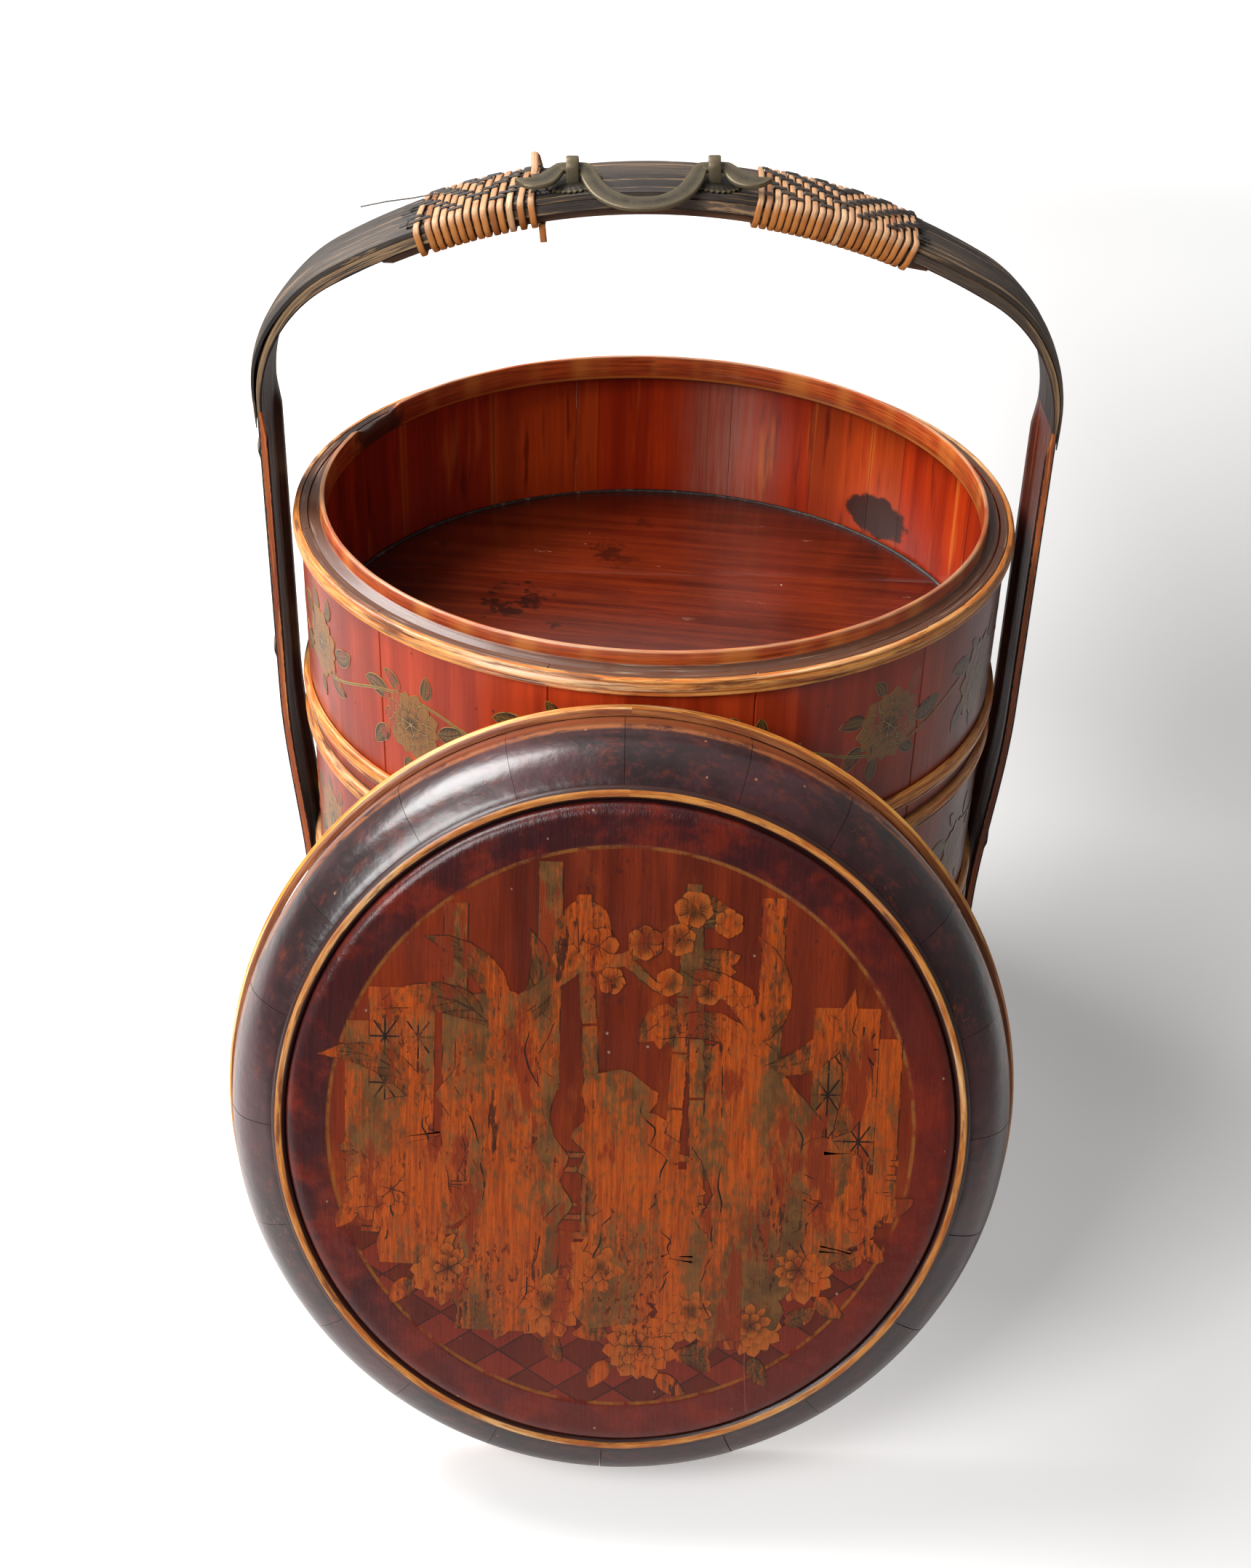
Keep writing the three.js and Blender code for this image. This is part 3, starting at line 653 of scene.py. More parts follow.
@dataclass(frozen=True)
class InsideLacquer(Finish):
    """Thin orange-brown lacquer inside a tier, with the staves' stripes, dark stains, painted shade towards
    the floor and a painted sheen on the back of the wall.
    """

    floor_z: float  # height of the floor, towards which painted shade darkens the wall
    glow: Colour = tint("d8702a")
    mid: Colour = tint("c03a0a")
    deep: Colour = tint("8a1e04")
    stain: Colour = tint("1a0c06")
    painted_sheen: Colour = tint("d09a80")
    staves: float = 17.0

    def paint(self, s: Shading) -> None:
        """Lays the colours about the tiers' axis.

        Args:
            s: the material in the making.
        """
        g = s.g
        place = s.place()
        tall = g.scaled(s.at, (1.0, 1.0, 0.035))
        streak = s.streak(tall, 42.0)
        fibre = s.fibre(tall, 80.0)
        board = place.turn * (self.staves / TAU)
        each = g.pick(board)
        s.colour = g.mix(streak, self.deep, self.mid)
        s.lay(self.glow, g.band(each, 0.6, 1.0) * 0.22)
        s.lay(self.deep, g.band(each, 0.4, 0.0) * 0.4)
        edge = abs(g.math("FRACT", board) - 0.5)
        turned = g.scaled(place.unrolled, (1.0, 0.5, 0.0))
        stripe = g.band(g.noise(turned, 15.0, 2.0, 0.5), 0.6, 0.7)
        s.lay(self.glow, stripe * 0.7)
        dusk = g.band(g.noise(turned, 23.0, 3.0, 0.6), 0.44, 0.3)
        s.lay(tint("4a0e03"), dusk * 0.75)
        lit = g.band(edge, 0.44, 0.48) * g.band(g.noise(tall, 26.0), 0.5, 0.6)
        s.lay(self.glow, lit * 0.7)
        seam = g.band(edge, 0.49, 0.498) * 0.5
        s.lay(self.stain, seam)
        s.lay(self.deep, fibre * 0.4)
        # painted shade: the wall darkens in patches towards the floor
        low = g.band(place.height, self.floor_z + 26 * MM, self.floor_z)
        mottle = g.noise(s.at, 22.0, 5.0)
        s.lay(self.deep, low * mottle * 0.9)
        # painted sheen: a pale pinkish haze on the back of the wall, a little right of the middle, standing
        # in for a reflection
        painted_sheen = abs(place.turn - 2.88)
        painted_sheen = painted_sheen + (mottle - 0.5) * 0.16
        painted_sheen = g.band(painted_sheen, 0.21, 0.03) * (0.1 + fibre * 0.22)
        s.lay(self.painted_sheen, painted_sheen)
        runs = s.scratches(tall, 60.0, 0.58)
        s.lay(self.stain, runs * 0.85)
        across = (place.turn - 2.31) / 0.15
        up = (place.height - (self.floor_z + 15 * MM)) / (15 * MM)
        far = across * across + up * up
        burnt = g.band(far + g.noise(s.at, 110.0, 5.0) * 1.1, 1.45, 1.2)
        s.lay(self.stain, burnt * 0.93)
        rough = 0.2 + g.noise(tall, 50.0, 4.0) * 0.24
        high = fibre * 0.4 - (seam + burnt)
        s.set(Coat_Weight=0.25, Coat_Roughness=0.12, Specular_IOR_Level=0.35)
        s.finish(rough, high, 0.12 * MM)


@dataclass(frozen=True)
class FloorLacquer(Finish):
    """Dark glossy red-brown boards with the grain from side to side, and painted shade darkening them towards
    the wall.
    """

    light: Colour = tint("8a3414")
    mid: Colour = tint("641c09")
    deep: Colour = tint("3e0f05")
    dust: Colour = tint("a8846a")

    def paint(self, s: Shading) -> None:
        """Lays the colours with the boards along X.

        Args:
            s: the material in the making.
        """
        g = s.g
        long = g.scaled(s.at, (0.05, 1.0, 1.0))
        streak = s.streak(long, 130.0)
        fibre = s.fibre(long, 120.0)
        cloud = g.noise(s.at, 11.0, 5.0, 0.6)
        s.colour = g.mix(g.band(cloud, 0.35, 0.7), self.deep, self.mid)
        s.lay(self.light, streak * 0.45)
        s.lay(self.deep, fibre * 0.35)
        blots = s.rub(s.at, 24.0, 0.61, 0.03)
        blots = blots * g.band(g.split(s.at)[0], 0.02, -0.06)
        s.lay(tint("170a07"), blots * 0.85)
        chafe = s.rub(g.scaled(s.at, (0.3, 1.0, 1.0)), 95.0, 0.66, 0.02)
        where = g.band(g.noise(s.at, 13.0, 2.0), 0.5, 0.62)
        s.lay(self.dust, chafe * where * 0.6)
        dots = s.specks(75.0, 0.05, 0.16)
        s.lay(tint("d8c8b4"), dots)
        # painted shade: the boards darken towards the wall round the floor's edge
        rim = g.band(s.place().radius, 162 * MM, 184 * MM)
        s.lay(self.deep, rim * 0.75)
        rough = 0.13 + g.noise(long, 60.0, 5.0) * 0.2
        s.set(Coat_Weight=0.3, Coat_Roughness=0.16, Specular_IOR_Level=0.45)
        s.finish(rough, fibre * 0.5, 0.08 * MM)


@dataclass(frozen=True)
class HoopBamboo(Finish):
    """Split bamboo of the hoops: golden, ridged along its length, with lacquer left in its creases."""

    gold: Colour = tint("e6a458")
    pale: Colour = tint("fbdcae")
    orange: Colour = tint("bc6220")
    dark: Colour = tint("5e2410")
    crest: float = 0.0  # radius of a bead's crest, where its flanks are dark
    lip: float = 0.0  # radius inside which a rim is lacquered over
    worn: float = 0.5  # how much of the dark lacquer is left, from 0 to 1

    def paint(self, s: Shading) -> None:
        """Lays the colours about the ring's axis.

        Args:
            s: the material in the making.
        """
        g = s.g
        place = s.place()
        along = g.scaled(place.unrolled, (0.7, 90.0, 60.0))
        ridge = g.noise(along, 9.0, 3.0, 0.7)
        broad = g.noise(along, 2.2, 4.0, 0.6)
        patches = g.noise(g.scaled(place.unrolled, (1.4, 55.0, 55.0)), 3.4, 5.0, 0.6)
        s.colour = g.mix(g.band(ridge, 0.35, 0.65), self.orange, self.gold)
        # pale streaks along the bamboo, partly its own tone and partly painted highlight
        s.lay(self.pale, g.band(broad, 0.52, 0.7) * 0.7)
        left = g.band(patches + (ridge - 0.5) * 0.7, 0.6 - 0.2 * self.worn, 0.72 - 0.1 * self.worn)
        s.lay(self.dark, left * 0.85)
        line = g.band(g.noise(along, 16.0, 2.0), 0.66, 0.74)
        s.lay(self.dark, line * 0.8)
        if self.crest > 0:
            flank = abs(place.radius - self.crest)
            flank = flank + (broad - 0.5) * (1.2 * MM)
            s.lay(tint("301510"), g.band(flank, 1.2 * MM, 1.8 * MM))
        if self.lip > 0:
            inner = place.radius + (broad - 0.5) * (1.2 * MM)
            over = g.mix(g.band(ridge, 0.4, 0.7), tint("6a3018"), tint("96552c"))
            s.lay(over, g.band(inner, self.lip, self.lip - 0.7 * MM) * 0.92)
        rough = 0.26 + ridge * 0.25
        s.set(Coat_Weight=0.15, Coat_Roughness=0.16, Specular_IOR_Level=0.4)
        s.finish(rough, ridge, 0.35 * MM)


@dataclass(frozen=True)
class CollarWood(Finish):
    """Collar of a tier: orange-red neck, rubbed top edge, dark worn ledge, and a painted highlight line over
    a painted shade line at its lower edge.
    """

    shoulder: float  # height of the ledge
    neck_radius: float  # outer radius of the neck
    top: float  # height of the neck's upper edge
    low: float  # height of the collar's lower edge
    neck: Colour = tint("c0501a")
    warm: Colour = tint("e08c3c")
    deep: Colour = tint("86300e")
    ledge: Colour = tint("5c3826")
    rubbed: Colour = tint("cda078")
    grey: Colour = tint("a08870")
    rot: float | None = None  # turn of a rotten place

    def paint(self, s: Shading) -> None:
        """Lays the colours about the tiers' axis.

        Args:
            s: the material in the making.
        """
        g = s.g
        place = s.place()
        height, radius = place.height, place.radius
        along = g.scaled(place.unrolled, (0.8, 120.0, 120.0))
        grain = g.noise(along, 7.0, 4.0, 0.65)
        each = g.noise(g.scaled(place.unrolled, (3.2, 0.0, 0.0)), 2.2, 1.0)
        s.colour = g.mix(g.band(grain, 0.35, 0.65), self.deep, self.neck)
        s.lay(self.warm, g.band(each, 0.42, 0.7) * 0.5)
        dirt = s.rub(along, 1.3, 0.64, 0.06)
        s.lay(self.ledge, dirt * 0.55)
        on_ledge = g.band(height, self.shoulder - 3 * MM, self.shoulder - 0.4 * MM)
        out = g.band(radius, self.neck_radius - 0.2 * MM, self.neck_radius + 0.6 * MM) * on_ledge
        worn = g.mix(g.band(grain, 0.55, 0.75), self.ledge, self.grey)
        s.lay(worn, out * (1.0 - g.band(height, self.shoulder + 0.5 * MM, self.shoulder + 2 * MM)))
        # painted highlight: a light line just above the collar's lower edge, with painted shade as a dark
        # line along the edge itself
        foot = height - self.low
        s.lay(self.warm, g.band(foot, 2.6 * MM, 1.6 * MM) * 0.6)
        s.lay(self.ledge, g.band(foot, 1.0 * MM, 0.5 * MM) * 0.8)
        patchy = g.band(g.noise(along, 4.0, 5.0, 0.7), 0.36, 0.56)
        rim = g.band(height, self.top - 1.3 * MM, self.top - 0.2 * MM) * patchy
        s.lay(self.rubbed, rim * 0.65)
        if self.rot is not None:
            off = abs(place.turn - self.rot)
            off = off + g.noise(s.at, 90.0, 5.0) * 0.22
            s.lay(tint("1d130d"), g.band(off, 0.27, 0.2) * 0.9)
        rough = 0.3 + grain * 0.3
        s.set(Coat_Weight=0.3, Coat_Roughness=0.14, Specular_IOR_Level=0.45)
        s.finish(rough, grain, 0.2 * MM)


@dataclass(frozen=True)
class LidLacquer(Finish):
    """Dark purple-brown gloss on the lid's ring, rubbed at its fold and smoky above."""

    fold_height: float  # height of the edge between band and slope
    dark: Colour = tint("200d0f")
    plum: Colour = tint("452024")
    rust: Colour = tint("702c16")
    edge: Colour = tint("a05c30")
    side: Colour = tint("7e4022")
    segments: int = 20

    def paint(self, s: Shading) -> None:
        """Lays the colours in the lid's own axes.

        Args:
            s: the material in the making.
        """
        g = s.g
        place = s.place()
        height, turn = place.height, place.turn
        along = g.scaled(place.unrolled, (2.2, 20.0, 20.0))
        cloud = g.noise(s.at, 14.0, 6.0, 0.65)
        grain = g.noise(along, 8.0, 5.0, 0.7)
        each = g.pick(turn * (self.segments / TAU))
        s.colour = g.mix(g.band(cloud, 0.38, 0.66), self.dark, self.plum)
        s.lay(self.dark, each * 0.3)
        smoky = g.band(g.noise(s.at, 20.0, 6.0, 0.72), 0.54, 0.7) * g.band(abs(turn), 1.7, 2.9)
        s.lay(self.rust, smoky * 0.75)
        s.lay(self.rust, g.band(grain, 0.5, 0.75) * 0.5)
        below = g.band(height, self.fold_height - 1.2 * MM, self.fold_height - 3.4 * MM)
        s.lay(self.side, below * 0.8)
        near = abs(height - self.fold_height)
        fold = g.band(near, 3.2 * MM, 0.3 * MM) * g.band(g.noise(along, 5.0, 5.0, 0.75), 0.36, 0.54)
        s.lay(self.edge, fold * 0.75)
        nicks = s.specks(90.0, 0.09, 0.22)
        s.lay(self.edge, nicks * 0.6)
        lines = s.scratches(along, 9.0, 0.6)
        s.lay(self.edge, lines * 0.25)
        peel = g.noise(s.at, 130.0, 4.0, 0.6)
        rough = 0.2 + cloud * 0.24
        dimple = g.noise(s.at, 66.0, 3.0, 0.5)
        high = cloud * 0.8 + peel * 0.3
        high = high + dimple * 0.7
        s.set(Coat_Weight=0.45, Coat_Roughness=0.2, Specular_IOR_Level=0.5)
        s.finish(rough, high - nicks * 0.3, 0.8 * MM)


@dataclass(frozen=True)
class PanelLacquer(Finish):
    """Ground of the lid's panel: red-brown with upright grain, a dark border and a thin ochre ring."""

    radius: float  # radius of the panel
    ground: Colour = tint("7c2a0c")
    warm: Colour = tint("a84a12")
    deep: Colour = tint("4e1608")
    border: Colour = tint("2c1016")
    blush: Colour = tint("822610")
    ring: Colour = tint("8a5420")
    tile: Colour = tint("722212")

    def paint(self, s: Shading) -> None:
        """Lays the colours in the lid's own axes.

        Args:
            s: the material in the making.
        """
        g = s.g
        place = s.place()
        tall = g.scaled(s.at, (1.0, 0.06, 1.0))
        streak = s.streak(tall, 50.0)
        fibre = s.fibre(tall, 110.0)
        s.colour = g.mix(streak, self.deep, self.ground)
        warm = s.rub(g.scaled(s.at, (1.0, 0.35, 1.0)), 16.0, 0.58, 0.08)
        s.lay(self.warm, warm * 0.55)
        x, y, _ = g.split(s.at)
        steep = y * 1.5
        cell = [(x + steep) / (27 * MM), (x - steep) / (27 * MM)]
        odd = g.math("MODULO", abs(g.math("FLOOR", cell[0]) + g.math("FLOOR", cell[1])), 2.0)
        near = [abs(g.math("FRACT", c) - 0.5) for c in cell]
        joint = g.band(g.math("MAXIMUM", near[0], near[1]), 0.465, 0.485)
        tile = g.mix(odd, self.deep, self.tile)
        tile = g.mix(joint, tile, tint("170b09"))
        low = g.band(y, -46 * MM, -50 * MM)
        s.lay(tile, low * 0.8)
        out = place.radius
        rim = g.band(out, 0.865 * self.radius, 0.885 * self.radius)
        lean = x - y
        lean = lean + (g.noise(s.at, 18.0, 4.0) - 0.5) * 0.3
        edge = g.mix(g.band(lean, -0.1, 0.16) * 0.4, self.border, self.blush)
        scuff = s.rub(s.at, 34.0, 0.55, 0.1)
        edge = g.mix(scuff * 0.55, edge, self.blush)
        s.lay(edge, rim * 0.92)
        line = g.band(abs(out - 0.872 * self.radius), 1.1 * MM, 0.5 * MM)
        worn = g.band(g.noise(s.at, 60.0, 5.0, 0.7), 0.38, 0.55)
        s.lay(self.ring, line * worn * 0.8)
        s.lay(self.deep, fibre * 0.3)
        sand = g.noise(g.scaled(s.at, (1.0, 0.4, 1.0)), 420.0, 3.0, 0.7)
        char = g.band(sand, 0.56, 0.63) * g.band(g.noise(s.at, 24.0, 4.0), 0.5, 0.66)
        s.lay(self.border, char * (0.7 - rim * 0.5))
        nicks = s.specks(110.0, 0.1, 0.35)
        s.lay(tint("a8826a"), nicks * 0.55)
        cuts = s.scratches(g.scaled(s.at, (1.0, 0.12, 1.0)), 70.0, 0.6)
        s.lay(tint("c08a68"), cuts * 0.4)
        rough = 0.2 + g.noise(s.at, 45.0, 5.0) * 0.24
        peel = g.noise(s.at, 140.0, 4.0) * (0.5 + rim)
        dimple = g.noise(s.at, 48.0, 3.0) * (rim * 1.6)
        s.set(Coat_Weight=0.14, Coat_Roughness=0.14, Specular_IOR_Level=0.28)
        high = fibre * 0.35 + (peel + dimple)
        s.finish(rough, high - nicks, 0.25 * MM)


@dataclass(frozen=True)
class LongBamboo(Finish):
    """Bamboo of the handle with fibres along its length, in the colours given."""

    base: Colour
    light: Colour
    dark: Colour
    streaks: float = 0.5
    gloss: float = 0.36
    skin: float = 0.0  # depth down to which a cut edge shows the dark skin

    def paint(self, s: Shading) -> None:
        """Lays the colours on the piece's own straightened coordinates.

        Args:
            s: the material in the making.
        """
        g = s.g
        run = s.run()
        long = g.scaled(run, (0.02, 1.0, 1.0))
        streak = s.streak(long, 420.0)
        fibre = s.fibre(long, 330.0)
        cloud = g.noise(g.scaled(run, (0.25, 1.0, 1.0)), 30.0, 5.0)
        s.colour = g.mix(g.band(cloud, 0.35, 0.65), self.dark, self.base)
        s.lay(self.dark, streak * 0.35)
        _, side, deep = g.split(run)
        front = g.band(side, -8 * MM, -21 * MM)
        level = g.noise(long, 330.0, 4.0, 0.7) - front * -0.05
        bright = g.band(level, 0.56, 0.62) * self.streaks
        s.lay(self.light, bright)
        s.lay(self.dark, fibre * 0.65)
        bare = s.rub(g.scaled(run, (0.12, 1.0, 1.0)), 110.0, 0.66, 0.03)
        s.lay(self.light, bare * 0.5)
        if self.skin > 0:
            deep = deep + (g.noise(run, 240.0, 4.0) - 0.5) * (1.6 * MM)
            s.lay(tint("1c1512"), g.band(deep, self.skin + 0.3 * MM, self.skin))
            s.lay(tint("1c1512"), g.band(deep, self.skin + 2.9 * MM, self.skin + 3.2 * MM))
        rough = self.gloss + streak * 0.2
        high = fibre * 0.5 + streak * 0.5
        s.finish(rough, high, 0.25 * MM)


@dataclass(frozen=True)
class SplitCane(Finish):
    """Peeled cane: tan on top, browner towards the underside of the grip."""

    tan: Colour = tint("e2b184")
    orange: Colour = tint("dc8c42")
    brown: Colour = tint("8c4a1c")
    pale: Colour = tint("fadcb0")

    def paint(self, s: Shading) -> None:
        """Lays the colours on the cane's length, width, and depth below the grip's top.

        Args:
            s: the material in the making.
        """
        g = s.g
        run = s.run()
        split = g.split(run)
        long = g.scaled(run, (0.03, 1.0, 0.05))
        fibre = s.fibre(long, 420.0)
        streak = s.streak(long, 520.0)
        patch = g.noise(g.scaled(run, (1.0, 0.2, 0.2)), 90.0, 5.0, 0.65)
        deep = split[2] + (patch - 0.5) * (6 * MM)
        s.colour = g.mix(g.band(deep, 0.5 * MM, 6 * MM), self.tan, self.orange)
        each = g.noise(g.scaled(run, (1.0, 0.0, 0.0)), 9.0, 2.0)
        s.lay(self.brown, g.band(each, 0.46, 0.64) * 0.7)
        s.lay(self.pale, g.band(each, 0.44, 0.34) * 0.6)
        s.lay(self.brown, g.band(patch, 0.55, 0.72) * 0.5)
        s.lay(self.brown, fibre * 0.4)
        sides = g.band(abs(split[1]), 2.0 * MM, 3.2 * MM)
        s.lay(self.brown, sides * 0.55)
        rough = 0.3 + fibre * 0.2
        s.set(Coat_Weight=0.15, Coat_Roughness=0.22, Specular_IOR_Level=0.35)
        s.finish(rough, fibre + streak, 0.12 * MM)


@dataclass(frozen=True)
class DarkMetal(Finish):
    """Forged copper alloy with a dark olive patina, brighter where hands rub it."""

    patina: Colour = tint("39332a")
    deep: Colour = tint("1f1c17")
    bright: Colour = tint("6e6149")

    def paint(self, s: Shading) -> None:
        """Lays the colours.

        Args:
            s: the material in the making.
        """
        g = s.g
        cloud = g.noise(s.at, 130.0, 5.0, 0.65)
        s.colour = g.mix(g.band(cloud, 0.35, 0.65), self.deep, self.patina)
        rubbed = s.rub(s.at, 210.0, 0.6, 0.08)
        edge = g.band(g.put("NewGeometry", {}, "Pointiness"), 0.505, 0.56)
        s.lay(self.bright, g.math("MAXIMUM", rubbed * 0.45, edge * 0.8))
        pits = s.specks(700.0, 0.2, 0.35)
        s.lay(self.deep, pits * 0.5)
        rough = 0.34 + cloud * 0.25
        high = cloud - pits * 0.4
        s.set(Metallic=0.45)
        s.finish(rough, high, 0.25 * MM)


@dataclass(frozen=True)
class Caulk(Finish):
    """Dark resin along the edge of a floor."""

    black: Colour = tint("1d1916")
    grey: Colour = tint("6d6760")

    def paint(self, s: Shading) -> None:
        """Lays the colours.

        Args:
            s: the material in the making.
        """
        g = s.g
        mottle = g.noise(s.at, 260.0, 5.0, 0.7)
        s.colour = g.mix(g.band(mottle, 0.5, 0.72), self.black, self.grey)
        s.finish(0.35 + mottle * 0.3, mottle, 0.4 * MM)


@dataclass(frozen=True)
class GiltPaint(Finish):
    """Gilt motifs with drawn lines, rubbed through to the wood and to the ground."""

    fill: Colour = tint("6a4a1c")
    foot: Colour = tint("3a200e")
    tip: Colour = tint("8e5a22")
    leaf: Colour = tint("74501e")
    line: Colour = tint("a8823c")
    ink: Colour = tint("1c110b")
    bare: Colour = tint("b8421a")
    deep: Colour = tint("82240c")
    ground: Colour = tint("a83814")
    worn: float = 0.6  # noise level above which the paint is gone
    shade: float = 0.75  # strength of the dark line inside an outline
    broken: float = 0.36  # noise level below which a drawn line is lost
    grit: float = 0.0  # strength of the grainy wear
    flat: bool = False  # on the lid's panel, not on an upright wall

    def paint(self, s: Shading) -> None:
        """Lays the colours on the motifs' own coordinates.

        Args:
            s: the material in the making.
        """
        g = s.g
        run = s.run()
        split = g.split(run)
        kind, side, edge = g.math("FLOOR", split[0]), split[1], split[2]
        along = g.math("FRACT", split[0]) / 0.9
        across = abs(side)
        cloud = g.noise(s.at, 60.0, 5.0, 0.65)
        tall = g.scaled(s.at, (1.0, 0.06, 1.0) if self.flat else (1.0, 1.0, 0.06))
        fibre = s.fibre(tall, 110.0)
        streak = s.streak(tall, 70.0)
        petal = g.mix(g.band(along + cloud * 0.6, 0.45, 1.2), self.foot, self.tip)
        leaf = g.mix(g.band(across + cloud * 0.5, 0.4, 1.2), self.leaf, self.foot)
        field = g.mix(g.band(cloud, 0.42, 0.62), self.leaf, self.fill)
        rays = abs(g.math("FRACT", side * 3.0) - 0.5)
        rays = g.band(rays, 0.34, 0.44) * g.band(along, 0.85, 0.45)
        petal = g.mix(rays * 0.75, petal, self.ink)
        slant = (along - across * 0.22) * 7.0
        veins = g.band(abs(g.math("FRACT", slant) - 0.5), 0.38, 0.46)
        veins = g.math("MAXIMUM", veins, g.band(across, 0.1, 0.05))
        leaf = g.mix(veins * 0.75, leaf, self.ink)
        s.colour = g.mix(g.math("GREATER_THAN", kind, 2.5), petal, field)
        s.lay(leaf, g.math("GREATER_THAN", kind, 4.5))
        rubbed = g.scaled(s.at, (1.0, 0.25, 1.0) if self.flat else (1.0, 1.0, 0.3))
        gone = s.rub(rubbed, 38.0, self.worn, 0.035 + 0.09 * self.grit)
        sand = g.noise(g.scaled(rubbed, (1.0, 1.6, 1.0)), 420.0, 3.0, 0.7) - 0.5
        gone = g.band(gone + sand * (2.4 * self.grit), 0.0, 1.0)
        wood = g.mix(fibre * 0.7, self.bare, self.deep)
        s.lay(wood, gone * 0.92)
        through = s.rub(g.scaled(rubbed, (1.3, 1.3, 1.3)), 47.0, 0.585, 0.03)
        s.lay(g.mix(streak, self.deep, self.ground), through * 0.88)
        kept = g.band(g.noise(s.at, 90.0, 4.0), self.broken, self.broken + 0.1)
        s.lay(self.ink, g.band(edge, 2.1, 1.3) * kept * self.shade)
        s.lay(self.line, g.band(edge, 1.0, 0.75) * kept * 0.85)
        s.lay(self.ink, g.math("GREATER_THAN", kind, 6.5) * kept)
        spots = s.rub(rubbed, 75.0, 0.635, 0.02)
        s.lay(self.ink, spots * 0.85)
        char = g.band(sand, 0.06, 0.13) * g.band(g.noise(s.at, 24.0, 4.0), 0.44, 0.62)
        s.lay(self.ink, char * (0.8 * self.grit))
        if not self.flat:
            # painted shade: the paint darkens over the wall's right side as the wall does
            turn = s.place().turn
            shaded_side = g.band(turn, 0.5, 1.3) * g.band(turn, 2.8, 1.9)
            s.lay(tint("46291e"), shaded_side * 0.6)
        rough = 0.26 + cloud * 0.22
        s.set(Coat_Weight=0.1, Coat_Roughness=0.2, Specular_IOR_Level=0.28)
        s.finish(rough, fibre + cloud * 0.6, 0.12 * MM)


Ground = Callable[[float, float, float], Vector]


class Motif(Enum):
    """Kinds of painted motif, as the paint's material tells them apart."""

    PETAL = 1
    FIELD = 3
    LEAF = 5
    INK = 7


